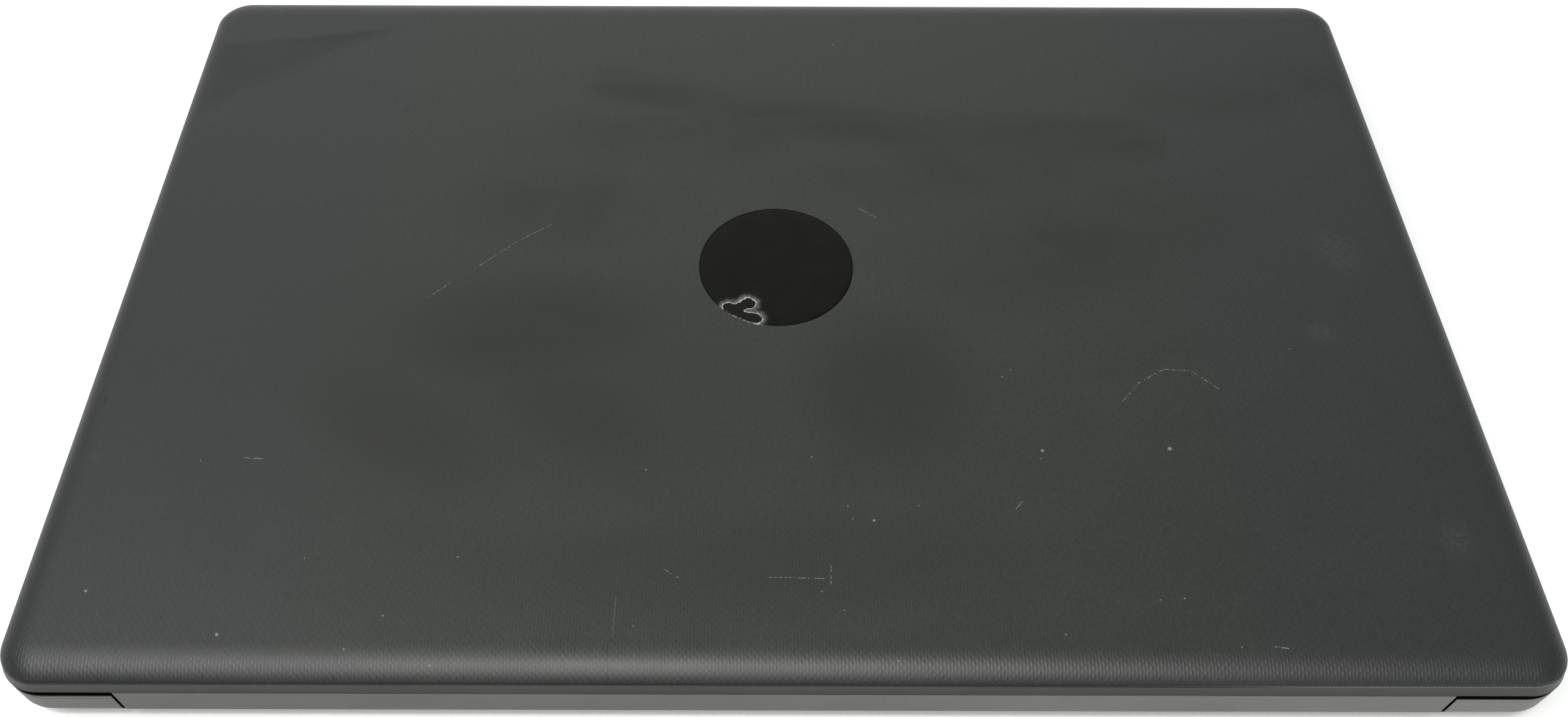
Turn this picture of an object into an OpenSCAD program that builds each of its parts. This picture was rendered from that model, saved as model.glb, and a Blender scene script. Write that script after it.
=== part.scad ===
// 15.6 inch clamshell laptop computer with a drop hinge, a tray-loading disc drive
// and an internal battery. Millimetres, +Z up, the user sits on the -Y side.
// Origin: centre of the footprint, at the surface that the rubber feet stand on.

/* [Overall] */
// Width over the lid
body_w = 376; // [370:1:384]
// Depth over the lid
body_d = 246; // [246:1:250]
// Radius of the plan corners
corner_r = 11.2; // [11:0.1:12]

/* [Lid] */
// Height of the lid's lower rim above the table
lid_z = 16.0; // [16:0.1:16.2]
// Height of the lid's back above the table
top_z = 22.5; // [22.5:0.1:23]
// Radius of the blank round inlay on the lid
badge_r = 22; // [14:1:26]
// Visible width of the screen
screen_w = 344.2; // [330:0.1:345]
// Visible height of the screen
screen_h = 193.6; // [185:0.1:194]

/* [Hinge] */
// Distance of the hinge axis from the rear face
hinge_in = 4; // [4:0.1:4.2]
// Height of the hinge axis above the table
hinge_z = 10.5; // [10.4:0.1:10.6]
// Half the length of the cap between the rear corners
cap_half = 159; // [150:0.5:159]
// Radius of the hinge pin
pin_r = 1.6; // [1.4:0.1:1.6]

/* [Keyboard] */
// Pitch of the main keys across
pitch_x = 18; // [17.6:0.1:18]
// Pitch of the key rows
pitch_y = 18; // [17.6:0.1:18]
// Pitch of the number pad across
pad_pitch = 17; // [16.5:0.1:17]
// Gap between neighbouring keys
key_gap = 2.7; // [2.4:0.1:3.2]
// Key travel
key_travel = 1.4; // [1:0.1:1.4]

/* [Disc drive] */
// Radius of the disc recess in the tray
disc_r = 60.5; // [60.2:0.1:60.5]
// Width of the drive along the side
drive_w = 127; // [126:0.5:127]

/* [Hidden] */

W = body_w; D = body_d; rc = corner_r;
hy = D/2 - hinge_in; hz = hinge_z;
deck_z = 15; seam_z = 12.7; floor_z = 3.0; under_z = 1.6;
ce = cap_half; cg = ce + 0.7; cw = cg + 1.5;
key_z0 = 13.8; key_z1 = 15.2; web_z = 13.5; pad_z = 12.3;
kb_x0 = -170.5; kb_y1 = 87.5; fn_h = 12.5;
kb_y0 = kb_y1 - fn_h - 5*pitch_y;
tp_x = -32; tp_w = 104.8;
dr_y = 29; dr_x = 122.5;
SCREWS = [[-168,-108],[-168,-80],[38.5,-80],[146.4,-108],[171,-109],[146.4,-62],[-150,104],[-20,104],[40,104],[148,103]];

bt = 6.4;
POSTS = [[-152,-36],[-20,-36],[43,-36],[43,83],[-40,83],[-107,83]];
IO_POSTS = [[156,-50],[156,-92]];
fan_x = -148; fan_y = 68.75;
ax_n = 22; ax_h = -2; ax_u = [-21,-39]; ax_a = -55; ax_l = -66; ax_p = 102;
function ell(t) = [8 - 7.2*cos(t), top_z - 4.3 + 4.3*sin(t)];
P_lid = concat([for (k = [0:6]) ell(90 - 12.5*k)], [[0.85, top_z - 3.4], [0.0, lid_z]]);
P_top = [[1.6,deck_z],[0.85,14.55],[0.35,14.1],[0,13.66],[0,seam_z+0.1]];
P_bot = [[0,seam_z],[0,7.0],[0.15,6.2],[0.6,5.3],[1.6,4.2],[3.4,2.75],[5.4,1.85],[7.5,under_z]];
P_cav = [[1.8,seam_z+0.1],[1.8,8.0],[2.5,6.9],[5.9,3.5],[7.2,floor_z]];

// ---- shared shapes ----
module rr2(w, d, r) {
  square([w - 2*r, d], center = true);
  square([w, d - 2*r], center = true);
  for (x = [-1,1], y = [-1,1]) translate([x*(w/2 - r), y*(d/2 - r)]) circle(r = r, $fn = 48);
}
module rrp(w, d, r, z0, z1) translate([0,0,z0]) linear_extrude(z1 - z0) rr2(w, d, r);
module box(x0, x1, y0, y1, z0, z1) translate([x0,y0,z0]) cube([x1-x0, y1-y0, z1-z0]);
module cyl(x, y, z0, z1, r) translate([x,y,z0]) cylinder(r = r, h = z1 - z0, $fn = 48);
module cylx(x0, x1, y, z, r) translate([x0,y,z]) rotate([0,90,0]) cylinder(r = r, h = x1 - x0, $fn = 48);
module stadium(l, w, z0, z1) translate([0,0,z0]) linear_extrude(z1-z0) { square([l-w, w], center=true); for (s=[-1,1]) translate([s*(l-w)/2,0]) circle(r=w/2, $fn=48); }
// A slab over the whole plan, whose rim follows the profile P: points [inset, height], top to bottom.
module slab(P) {
  zt = P[0][1]; zb = P[len(P)-1][1];
  Q = concat([[rc, zt]], P, [[rc, zb]]);
  C = [for (p = Q) [rc - p[0], p[1]]];
  union() {
    translate([0,0,zb]) linear_extrude(zt-zb) square([W-2*rc, D-2*rc], center = true);
    for (k = [0:3]) translate([(k==0||k==3 ? 1 : -1)*(W/2-rc), (k<2 ? 1 : -1)*(D/2-rc), 0])
      rotate([0,0,90*k]) rotate_extrude(angle = 90, $fn = 96) polygon(C);
    for (s = [0,180]) rotate([0,0,s]) translate([-(W/2-rc),0,0]) rotate([90,0,90])
      linear_extrude(W-2*rc) polygon([for (p = Q) [D/2 - p[0], p[1]]]);
    for (s = [0,180]) rotate([0,0,s]) translate([0,D/2-rc,0]) rotate([90,0,0])
      linear_extrude(D-2*rc) polygon([for (p = Q) [W/2 - p[0], p[1]]]);
  }
}
// The space that the hinge cap and the lid's rear edge turn in.
module hinge_recess() {
  cylx(-cg, cg, hy, hz, 7);
  box(-cg, cg, D/2-10, D/2+2, hz, 16.5);
  box(-cg, cg, D/2-6.5, D/2+2, 0, hz);
}

// ---- base shell ----
module bottom_cover() color([0.27,0.28,0.27]) difference() {
  union() {
    difference() { slab(P_bot); slab(P_cav); }
    intersection() {
      slab(P_bot);
      union() { cylx(-cw, cw, hy, hz, 8.4); box(-cw, cw, D/2-12.4, D/2, hz, seam_z); }
    }
    for (p = SCREWS) cyl(p[0], p[1], floor_z-0.3, 5.0, 3.2);
    for (p = concat(POSTS, IO_POSTS)) cyl(p[0], p[1], floor_z-0.3, bt-1.2, 2.6);
  }
  for (p = concat(POSTS, IO_POSTS)) cyl(p[0], p[1], floor_z+0.2, 6, 1.0);
  hinge_recess();
  for (s = [-1,1]) translate([s*(cg+0.75),hy,hz]) rotate([0,90,0]) cylinder(r = 2.1, h = 4, center = true, $fn = 48);
  for (p = SCREWS) { cyl(p[0], p[1], 1, 3.4, 2.5); cyl(p[0], p[1], 3, 6, 1.3); }
  // disc drive bay
  box(49.5, 180, dr_y-drive_w/2-0.5, dr_y+drive_w/2+0.5, 2.5, 6);
  box(179, 190, dr_y-drive_w/2-0.3, dr_y+drive_w/2+0.3, 3.3, 14);
  // left side: power, vents, network, display, two serial, audio, light
  cylx(-190, -184, ax_p, 9.2, 3.7);
  for (i = [0:8]) box(-190, -184, 49 + i*4.6, 51.8 + i*4.6, 5.6, 11.6);
  box(-190, -182.5, ax_n-6.6, ax_n+6.6, 4.2, 12.0);
  box(-190, -184, ax_h-7.7, ax_h+7.7, 6.2, 11.4);
  for (y = ax_u) box(-190, -184, y-6.8, y+6.8, 6.2, 12.2);
  cylx(-190, -183.8, ax_a, 9.2, 3.3);
  cylx(-190, -184, ax_l, 9.2, 0.9);
  // right side: lights, card slot, serial, lock slot
  for (y = [-104,-98]) cylx(184, 190, y, 9.2, 0.9);
  box(184, 190, -94.0, -68.0, 7.6, 10.6);
  box(184, 190, -62.8, -49.2, 6.2, 12.2);
  box(184, 190, 101, 108, 7.7, 10.7);
  // intake slots below the fan and small vents below the memory
  for (i = [0:9]) box(-172 + i*5, -169.4 + i*5, 46, 84, 1, 3.5);
  for (i = [0:11]) box(-40 + i*5, -37.6 + i*5, 44, 62, 1, 3.5);
  // two speaker slots
  for (s = [-1,1], i = [0:5]) box(s*88 - 14 + i*5, s*88 - 11.6 + i*5, 107.5, 110, 1, 3.5);
}

module palmrest_cover() color([0.25,0.26,0.26]) difference() {
  union() {
    difference() { slab(P_top); rrp(W-4.8, D-4.8, rc-2.4, 12, 13.4); }
    difference() { translate([0,(kb_y0+kb_y1)/2,0]) rrp(346.8, kb_y1-kb_y0+5.8, 3, web_z-0.9, 13.5);
                   translate([0,(kb_y0+kb_y1)/2,0]) rrp(344, kb_y1-kb_y0+3, 2, 12, 14); }
    box(-cg, cg, D/2-11.4, D/2-10, seam_z+0.1, 13.5);
    for (s = [-1,1]) box(s < 0 ? -cw : cg, s < 0 ? -cg : cw, D/2-11.4, D/2-2.2, seam_z+0.1, 13.5);
    for (p = SCREWS) cyl(p[0], p[1], 5.1, 13.5, 2.4);
  }
  hinge_recess();
  translate([0,(kb_y0+kb_y1)/2,0]) rrp(344, kb_y1-kb_y0+3, 2, 12, 16);
  translate([tp_x,-57.3,0]) rrp(tp_w, 60.6, 1.6, 12, 16);
  translate([tp_x,-95,0]) rrp(tp_w, 12, 1.2, 12, 16);
  translate([-150,99.5,0]) stadium(19.6, 8.6, 12, 16);
  for (i = [0:53]) box(-125 + i*5.2, -123.6 + i*5.2, 95, 106, 12, 16);
  for (p = SCREWS) cyl(p[0], p[1], 5, 10, 1.0);
  // thumb notch in the front edge
  translate([0,-D/2-11,13.4]) cylinder(r = 14, h = 3, $fn = 96);
}

module rubber_feet() color([0.07,0.07,0.07]) {
  for (s = [-1,1]) translate([s*100,99,0]) stadium(84, 9, 0, under_z);
  for (s = [-1,1]) translate([s*118,-104,0]) stadium(44, 8, 0, under_z);
}
module screw(x, y) { difference() { cyl(x, y, 2.0, 3.4, 2.2); box(x-1.4, x+1.4, y-0.3, y+0.3, 1.5, 2.6); box(x-0.3, x+0.3, y-1.4, y+1.4, 1.5, 2.6); } cyl(x, y, 3.4, 9.4, 0.95); }
module bottom_screws() color([0.35,0.35,0.36]) for (p = SCREWS) union() screw(p[0], p[1]);

// ---- keyboard ----
// Each row: [y of its centre, depth of its keys, widths in units]; the number pad is apart.
R1 = [for (i = [0:14]) 1];
R2 = concat([for (i = [0:12]) 1], [2]);
R3 = concat([1.5], [for (i = [0:11]) 1], [1.5]);
R4 = concat([1.75], [for (i = [0:10]) 1]);
R5 = concat([2.25], [for (i = [0:9]) 1], [2.75]);
function row_y(k) = k == 0 ? kb_y1 - fn_h/2 : kb_y1 - fn_h - (k-0.5)*pitch_y;
function sum(v, n) = n <= 0 ? 0 : v[n-1] + sum(v, n-1);
function keys(v, k, x0 = 0) = [for (i = [0:len(v)-1]) [kb_x0 + pitch_x*(x0 + sum(v, i) + v[i]/2), row_y(k), pitch_x*v[i], k == 0 ? fn_h : pitch_y]];
pad_x0 = kb_x0 + 15*pitch_x + 3;
function pk(c, k, w = 1, h = 1) = [pad_x0 + pad_pitch*(c + w/2), k == 0 ? row_y(0) : row_y(k) - (h-1)*pitch_y/2, pad_pitch*w, k == 0 ? fn_h : pitch_y*h];
K_fn = concat(keys(R1, 0), [for (c = [0:3]) pk(c, 0)]);
K_num = keys(R2, 1);
K_up = keys(R3, 2);
K_home = keys(R4, 3);
K_enter = [[kb_x0 + pitch_x*(12.75 + 1.125), row_y(3), pitch_x*2.25, pitch_y]];
K_low = keys(R5, 4);
K_bot = concat(keys([1.25,1,1,1], 5), keys([1,1.25], 5, 9.75),
  [[kb_x0+pitch_x*12.5, row_y(5), pitch_x, pitch_y], [kb_x0+pitch_x*13.5, row_y(5)+pitch_y/4, pitch_x, pitch_y/2],
   [kb_x0+pitch_x*13.5, row_y(5)-pitch_y/4, pitch_x, pitch_y/2], [kb_x0+pitch_x*14.5, row_y(5), pitch_x, pitch_y]]);
K_space = [[kb_x0+pitch_x*7, row_y(5), pitch_x*5.5, pitch_y]];
K_pad = concat([for (c = [0:3]) pk(c, 1)], [for (c = [0:2]) pk(c, 2)], [pk(3, 2, 1, 2)], [for (c = [0:2]) pk(c, 3)],
  [for (c = [0:2]) pk(c, 4)], [pk(3, 4, 1, 2)], [pk(0, 5, 2, 1), pk(2, 5)]);
K_all = concat(K_fn, K_num, K_up, K_home, K_enter, K_low, K_bot, K_space, K_pad);
function kd(k) = k[3] < 10 ? k[3] - 1.2 : k[3] - key_gap;
module keycap(k) translate([k[0],k[1],0]) rrp(k[2]-key_gap, kd(k), 1.2, key_z0, key_z1);
module caps(K) color([0.07,0.07,0.075]) for (k = K) keycap(k);
module keyboard_plate() color([0.12,0.12,0.125]) difference() {
  translate([0,(kb_y0+kb_y1)/2,0]) union() { rrp(348, kb_y1-kb_y0+8, 2, 11.7, web_z-1.0); rrp(343.4, kb_y1-kb_y0+2.4, 1.8, 12, web_z); }
  for (k = K_all) translate([k[0],k[1],pad_z]) linear_extrude(3) square([k[2]-key_gap+0.9, kd(k)+(k[3] < 10 ? 0.8 : 0.9)], center = true);
}

// ---- touchpad, buttons, lights ----
module touchpad_plate() color([0.2,0.2,0.21]) translate([tp_x,-57.3,0]) { rrp(tp_w-0.6, 60, 1.4, 12.3, 14.6); rrp(tp_w+5, 62, 2, 12.3, 13.4); }
module tp_button(s) translate([tp_x + s*(tp_w/4),-95,0]) rrp(tp_w/2-0.6, 11.4, 1.0, 12.6, 14.8);
module touchpad_button_left() color([0.2,0.2,0.21]) tp_button(-1);
module touchpad_button_right() color([0.2,0.2,0.21]) tp_button(1);
module power_button() color([0.22,0.23,0.23]) difference() { translate([-150,99.5,0]) stadium(19, 8, 12.9, 15.1); cyl(-144.5, 99.5, 12, 16, 0.7); }
module status_lights() color([0.85,0.87,0.88]) {
  union() { cyl(-144.5, 99.5, 11.2, 12.2, 0.6); box(-145.2, -143.8, 98.9, 105.6, 11.2, 11.8); box(-145.2, -143.8, 104.4, 105.6, 11.2, 13.4); }
  cylx(-187.9, -182, ax_l, 9.2, 0.8);
  for (y = [-104,-98]) cylx(182, 187.9, y, 9.2, 0.8);
}

// ---- boards and what is on them ----
module system_board() color([0.05,0.22,0.12]) difference() {
  translate([0,0,bt-1.2]) linear_extrude(1.2) polygon([[-183,-60],[-157,-60],[-157,-40],[47.5,-40],[47.5,88],[-112,88],[-112,32],[-172.2,32],[-172.2,14],[-183,14]]);
  for (p = POSTS) cyl(p[0], p[1], 4, 7, 1.2);
}
module board_chips() color([0.1,0.1,0.11]) {
  box(-78, -50, 24, 50, bt, 7.5);
  box(-40, -18, -12, 4, bt, 7.6);
  box(-30, 38, 8, 13, bt, 9.0);
  box(16, 20, 52, 80, bt, 8.6);
  box(-96, -88, -20, -10, bt, 7.4);
  box(4, 14, -28, -18, bt, 7.6);
  for (i = [0:5]) box(-84 + i*9, -77.5 + i*9, 58, 64.5, bt, 9.4);
  for (i = [0:7]) cyl(-100, -32 + i*8, bt, 8.6, 2.4);
}
module heat_pipe() color([0.72,0.43,0.28]) union() {
  box(-80, -48, 22, 52, 7.5, 8.9);
  box(-169.2, -54, 34, 41, 8.9, 10.7);
  translate([-169.2,48.4,8.9]) rotate([0,0,180]) rotate_extrude(angle = 90, $fn = 64) translate([7.4,0]) square([7,1.8]);
  box(-183.6, -176.6, 48.4, 90, 8.9, 10.7);
}
module heatsink_fins() color([0.75,0.76,0.78]) union() {
  box(-182.8, -176.2, 48.4, 90, 8.4, 8.9);
  for (i = [0:18]) box(-182.8, -176.2, 48.4 + i*2.278, 49.0 + i*2.278, 4.6, 8.6);
}
module fan_housing() color([0.1,0.1,0.105]) difference() {
  box(-176, -120, 41.5, 96, floor_z, 10.6);
  cyl(fan_x, fan_y, 4.2, 9.8, 25.6);
  box(-177, -150, 48.4, 90, 4.2, 8.9);
  box(-176.7, -170, 48.3, 90.1, 8.8, 10.8);
  box(-177, -170, 41, 48.5, 8.8, 10.8);
  cyl(fan_x, fan_y, 9, 12, 20);
  cyl(fan_x, fan_y, 2, 5, 19);
}
module fan_rotor() color([0.16,0.16,0.17]) union() {
  cyl(fan_x, fan_y, 4.6, 9.2, 11);
  for (i = [0:18]) translate([fan_x,fan_y,0]) rotate([0,0,i*360/19]) translate([10.5,-0.4,5.0]) cube([13.6,0.8,3.8]);
}
module battery_pack() color([0.06,0.06,0.065]) union() {
  translate([-60,-82,0]) rrp(190, 64, 2, floor_z, 9.8);
  box(-80, -40, -50.5, -46, floor_z, 8.0);
}
module hard_drive() color([0.62,0.64,0.66]) difference() {
  translate([92,-79,0]) rrp(99.8, 69.6, 2, 3.5, 10.2);
  for (x = [59,120], s = [-1,1]) translate([x,-79 + s*35,6.6]) rotate([90,0,0]) cylinder(r = 1.3, h = 6, center = true, $fn = 32);
}
module drive_bracket() color([0.55,0.56,0.58]) {
  for (s = [-1,1]) difference() {
    box(43, 141, -79 + s*35.4 - 0.6, -79 + s*35.4 + 0.6, floor_z, 10.4);
    for (x = [59,120]) translate([x,-79 + s*35,6.6]) rotate([90,0,0]) cylinder(r = 1.3, h = 6, center = true, $fn = 32);
  }
}
module memory_module() color([0.05,0.3,0.16]) union() { box(-28, 36, 13, 43, 7.4, 8.5); for (i = [0:3]) box(-25 + i*15.5, -13 + i*15.5, 23, 35, 8.5, 9.4); }
module wireless_card() color([0.05,0.26,0.3]) union() { box(20, 44, 54, 79, 7.2, 8.0); box(23, 40, 57, 76, 8.0, 9.5); }
module speaker(x) { difference() { translate([x,100,0]) rrp(52, 13.6, 2.5, 8.2, 13.4); translate([x,100,0]) rrp(34, 9, 2, 12.6, 14); } translate([x,100,0]) stadium(26, 7, 12.2, 12.9); }
module speaker_left() color([0.08,0.08,0.085]) union() speaker(-88);
module speaker_right() color([0.08,0.08,0.085]) union() speaker(88);
module io_board() color([0.05,0.22,0.12]) difference() { union() { box(152, 181, -96, -44, bt-1.2, bt); box(154, 158, -80, -66, bt, 8.2); } for (p = IO_POSTS) cyl(p[0], p[1], 4, 7, 1.2); }
module clock_battery() color([0.75,0.76,0.77]) cyl(-130, -8, bt, 9.6, 10);

// ---- sockets ----
module usb_socket(s, y) {
  X = [s*187.0, s*174.4];
  x0 = min(X); x1 = max(X);
  difference() {
    box(x0, x1, y-6.55, y+6.55, bt, 12.0);
    box(s > 0 ? x0+0.6 : x0-1, s > 0 ? x1+1 : x1-0.6, y-6.2, y+6.2, 6.75, 11.65);
  }
  box(s > 0 ? x0+0.3 : x0+1.4, s > 0 ? x1-1.4 : x1-0.3, y-5.5, y+5.5, 9.2, 11.0);
}
module usb_sockets() color([0.7,0.71,0.73]) {
  for (y = ax_u) union() usb_socket(-1, y);
  union() usb_socket(1, -56);
}
module hdmi_socket() color([0.7,0.71,0.73]) union() {
  difference() { box(-187.0, -175.5, ax_h-7.5, ax_h+7.5, bt, 11.2); box(-188, -176.5, ax_h-7.05, ax_h+7.05, 6.8, 10.8); }
  box(-185.2, -176, ax_h-5.6, ax_h+5.6, 8.4, 9.2);
}
module network_socket() color([0.09,0.09,0.095]) difference() {
  union() {
    box(-182.4, -174.2, ax_n-7, ax_n+7, 4.5, 12.2);
    intersection() { slab(P_bot); box(-187.2, -182.3, ax_n-6.5, ax_n+6.5, 4.3, 11.9); }
  }
  box(-189, -175.2, ax_n-5.9, ax_n+5.9, 5.0, 11.5);
}
module audio_socket() color([0.09,0.09,0.095]) difference() {
  union() { box(-183.8, -172.5, ax_a-4, ax_a+4, bt, 12.2); cylx(-187.8, -183.7, ax_a, 9.2, 3.1); }
  cylx(-189, -174, ax_a, 9.2, 1.8);
}
module power_socket() color([0.09,0.09,0.095]) union() {
  difference() {
    union() { box(-183.8, -173.5, ax_p-5.4, ax_p+5.4, 5.6, 11.9); box(-180.8, -173.5, ax_p-5.4, ax_p+5.4, floor_z, 5.7); cylx(-187.6, -183.7, ax_p, 9.2, 3.5); }
    cylx(-189, -176.5, ax_p, 9.2, 2.35);
  }
  cylx(-185, -176, ax_p, 9.2, 0.4);
}
module card_reader() color([0.66,0.67,0.69]) difference() { box(160, 184.4, -94.6, -67.4, bt, 11.1); box(162, 188, -93.2, -68.8, 7.8, 10.4); }

// ---- disc drive ----
module drive_case() difference() {
  box(50, 179.5, dr_y-drive_w/2, dr_y+drive_w/2, 2.6, 11.5);
  box(50.7, 181, dr_y-drive_w/2+0.7, dr_y+drive_w/2-0.7, 3.2, 10.9);
}
module optical_drive_case() color([0.66,0.67,0.69]) drive_case();
module optical_tray() color([0.13,0.13,0.135]) difference() {
  union() {
    box(52, 180.5, dr_y-61.8, dr_y+61.8, 3.6, 9.8);
    box(180.4, 184.1, dr_y-61.8, dr_y+61.8, 6.2, 9.8);
  }
  cyl(dr_x, dr_y, 7.6, 11, disc_r);
  cyl(dr_x, dr_y, 6.4, 8, 20);
  cyl(dr_x, dr_y, 3, 8, 14.8);
  box(dr_x-13, dr_x+13, dr_y+16, dr_y+57, 3, 8);
  box(51, 58, dr_y+40, dr_y+63, 3, 11);
}
module disc_spindle() color([0.75,0.76,0.78]) union() {
  cyl(dr_x, dr_y, 4.6, 6.9, 14.2);
  cyl(dr_x, dr_y, 6.9, 9.4, 7.4);
  for (i = [0:2]) rotate_at(dr_x, dr_y, i*120) translate([6.9,-1,7.8]) cube([0.9,2,1.0]);
}
module rotate_at(x, y, a) translate([x,y,0]) rotate([0,0,a]) children();
module laser_sled() color([0.3,0.31,0.33]) difference() {
  union() { box(dr_x-12.2, dr_x+12.2, dr_y+17, dr_y+33, 4.4, 6.6); cyl(dr_x, dr_y+25, 6.6, 7.1, 3.6); }
  cyl(dr_x, dr_y+25, 6.9, 8, 2.4);
}
module tray_bezel() color([0.25,0.26,0.26]) difference() {
  intersection() { slab(P_bot); box(182, 189, dr_y-drive_w/2, dr_y+drive_w/2, 3.6, 12.55); }
  box(181, 184.1, dr_y-62, dr_y+62, 3, 10);
  box(181, 186, dr_y-62, dr_y+62, 10, 12.0);
  box(180, 190, dr_y-40-5.4, dr_y-40+5.4, 8.0, 10.6);
  cylx(181, 190, dr_y-28, 9.3, 0.6);
}
module eject_button() color([0.22,0.22,0.225]) box(185.2, 188, dr_y-45.1, dr_y-34.9, 8.3, 10.3);

// ---- hinges ----
module bracket(s) {
  difference() {
    union() {
      box(min(s*162,s*182), max(s*162,s*182), 92, 112.4, 12.2, 13.3);
      box(min(s*162,s*164), max(s*162,s*164), 104, 120.4, 11.0, 13.3-0.2);
      cylx(min(s*162,s*164), max(s*162,s*164), hy, hz, 2.15);
      box(min(s*162,s*164), max(s*162,s*164), 108, 120.4, hz, 12.6);
    }
    for (p = [[168,97],[177,97],[177,108]]) cyl(s*p[0], p[1], 11, 14, 1.2);
  }
  cylx(min(s*146,s*164), max(s*146,s*164), hy, hz, pin_r);
}
module hinge_bracket_left() color([0.5,0.51,0.53]) union() bracket(-1);
module hinge_bracket_right() color([0.5,0.51,0.53]) union() bracket(1);
module arm(s) difference() {
  union() {
    cylx(min(s*147,s*156), max(s*147,s*156), hy, hz, 2.6);
    box(min(s*147,s*156), max(s*147,s*156), hy-3.2, hy-1.8, hz, 18.4);
    box(min(s*147,s*180), max(s*147,s*180), 105, 118.2, 17.35, 18.45);
    box(min(s*177.5,s*184.5), max(s*177.5,s*184.5), -60, 112, 17.35, 18.45);
  }
  cylx(min(s*146,s*157), max(s*146,s*157), hy, hz, pin_r+0.05);
  for (y = [-50, 20, 90]) cyl(s*181, y, 17, 19, 1.25);
  for (x = [162, 172]) cyl(s*x, 111.5, 17, 19, 1.25);
}
module hinge_arm_left() color([0.5,0.51,0.53]) arm(-1);
module hinge_arm_right() color([0.5,0.51,0.53]) arm(1);

// ---- lid ----
module lid_cover() color([0.25,0.26,0.26]) difference() {
  slab(P_lid);
  slab([[7.2,top_z-1.6],[7.2,top_z-3.9],[1.7,top_z-3.9],[1.7,lid_z-0.1]]);
  cyl(0.7, -4, top_z-0.55, top_z+1, badge_r+0.15);
}
module lid_badge() color([0.03,0.03,0.032]) cyl(0.7, -4, top_z-0.55, top_z-0.1, badge_r);
C_out = concat([[D/2,lid_z-0.15],[D/2,6.6]], [for (a = [18:18:90]) [D/2-1.6+1.6*cos(a), 6.6-1.6*sin(a)]],
  [for (a = [0:9:90]) [hy-5.5*sin(a), hz-5.5*cos(a)]], [[hy-5.5,lid_z+1.3],[hy-4.1,lid_z+1.3],[hy-4.1,lid_z-0.15]]);
C_in = concat([[D/2-1.2,lid_z],[D/2-1.2,7.5]], [for (a = [30:30:90]) [D/2-2.3+1.1*cos(a), 7.5-1.1*sin(a)]],
  [for (a = [0:9:90]) [hy-4.1*sin(a), hz-4.1*cos(a)]], [[hy-4.1,lid_z]]);
module hinge_cap() color([0.4,0.4,0.39]) difference() {
  translate([-ce,0,0]) rotate([90,0,90]) linear_extrude(2*ce) polygon(C_out);
  translate([-ce+1.4,0,0]) rotate([90,0,90]) linear_extrude(2*ce-2.8) polygon(C_in);
  for (s = [-1,1]) translate([s*(ce-0.7),hy,hz]) rotate([0,90,0]) cylinder(r = 2.0, h = 4, center = true, $fn = 48);
}
module display_bezel() color([0.07,0.07,0.075]) difference() {
  rrp(W-3.9, D-3.9, rc-1.95, lid_z+0.1, lid_z+1.3);
  translate([0,-11.2,0]) rrp(screen_w+0.8, screen_h+0.8, 0.6, 15, 18);
  box(-ce-0.3, ce+0.3, D/2-12.4, D/2, 15, 18);
  cyl(0, -115.6, 15, 18, 2.3);
  cyl(9, -115.6, 15, 18, 0.6);
  for (s = [-1,1]) cyl(s*24, -115.6, 15, 18, 0.5);
}
module lcd_panel() color([0.03,0.03,0.035]) union() {
  box(-175.3, 175.3, -112.6, 88.5, lid_z+1.5, lid_z+4.5);
  box(-160, 160, 88.4, 103.6, lid_z+2.1, lid_z+3.9);
}
module webcam_board() color([0.05,0.22,0.12]) box(-34, 34, -120, -113.4, lid_z+1.9, lid_z+2.5);
module webcam_lens() color([0.02,0.02,0.03]) union() { cyl(0, -115.6, lid_z+0.35, lid_z+1.6, 2.1); box(-3.4, 3.4, -119, -113.4, lid_z+1.5, lid_z+1.9); }
module lid_bumpers() color([0.06,0.06,0.06]) {
  for (s = [-1,1]) translate([s*120,-117.6,0]) stadium(22, 4, lid_z-0.85, lid_z+0.1);
  for (s = [-1,1]) translate([s*178,20,0]) rotate([0,0,90]) stadium(20, 4, lid_z-0.85, lid_z+0.1);
}
module antennas() color([0.78,0.6,0.25]) {
  for (s = [-1,1]) union() { box(s*80-22, s*80+22, -120, -113.4, lid_z+1.9, lid_z+2.4); box(s*80-4, s*80+4, -120, -116.8, lid_z+1.4, lid_z+2.0); }
}
module display_cable() color([0.12,0.12,0.13]) union() {
  box(-112, -84, 98, 110.4, lid_z+4.0, lid_z+4.4);
  box(-106, -90, 110.0, 110.4, lid_z+1.7, lid_z+4.2);
  box(-106, -90, 110.0, 117.2, lid_z+1.6, lid_z+2.0);
  box(-106, -90, 116.8, 117.2, hz+1, lid_z+1.8);
}

bottom_cover();
palmrest_cover();
keyboard_plate();
rubber_feet();
bottom_screws();
system_board();
board_chips();
heat_pipe();
heatsink_fins();
fan_housing();
fan_rotor();
battery_pack();
hard_drive();
drive_bracket();
memory_module();
wireless_card();
speaker_left();
speaker_right();
touchpad_plate();
touchpad_button_left();
touchpad_button_right();
power_button();
optical_drive_case();
optical_tray();
tray_bezel();
disc_spindle();
laser_sled();
eject_button();
usb_sockets();
hdmi_socket();
network_socket();
audio_socket();
power_socket();
card_reader();
io_board();
hinge_bracket_left();
hinge_bracket_right();
clock_battery();
status_lights();
lid_cover();
display_bezel();
lcd_panel();
hinge_cap();
hinge_arm_left();
hinge_arm_right();
webcam_board();
webcam_lens();
lid_badge();
lid_bumpers();
antennas();
display_cable();
caps(K_fn);  // function_row_keys
caps(K_num);  // number_row_keys
caps(K_up);  // upper_row_keys
caps(K_home);  // home_row_keys
caps(K_low);  // lower_row_keys
caps(K_bot);  // bottom_row_keys
caps(K_pad);  // number_pad_keys
caps(K_space);  // space_bar
caps(K_enter);  // enter_key
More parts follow.
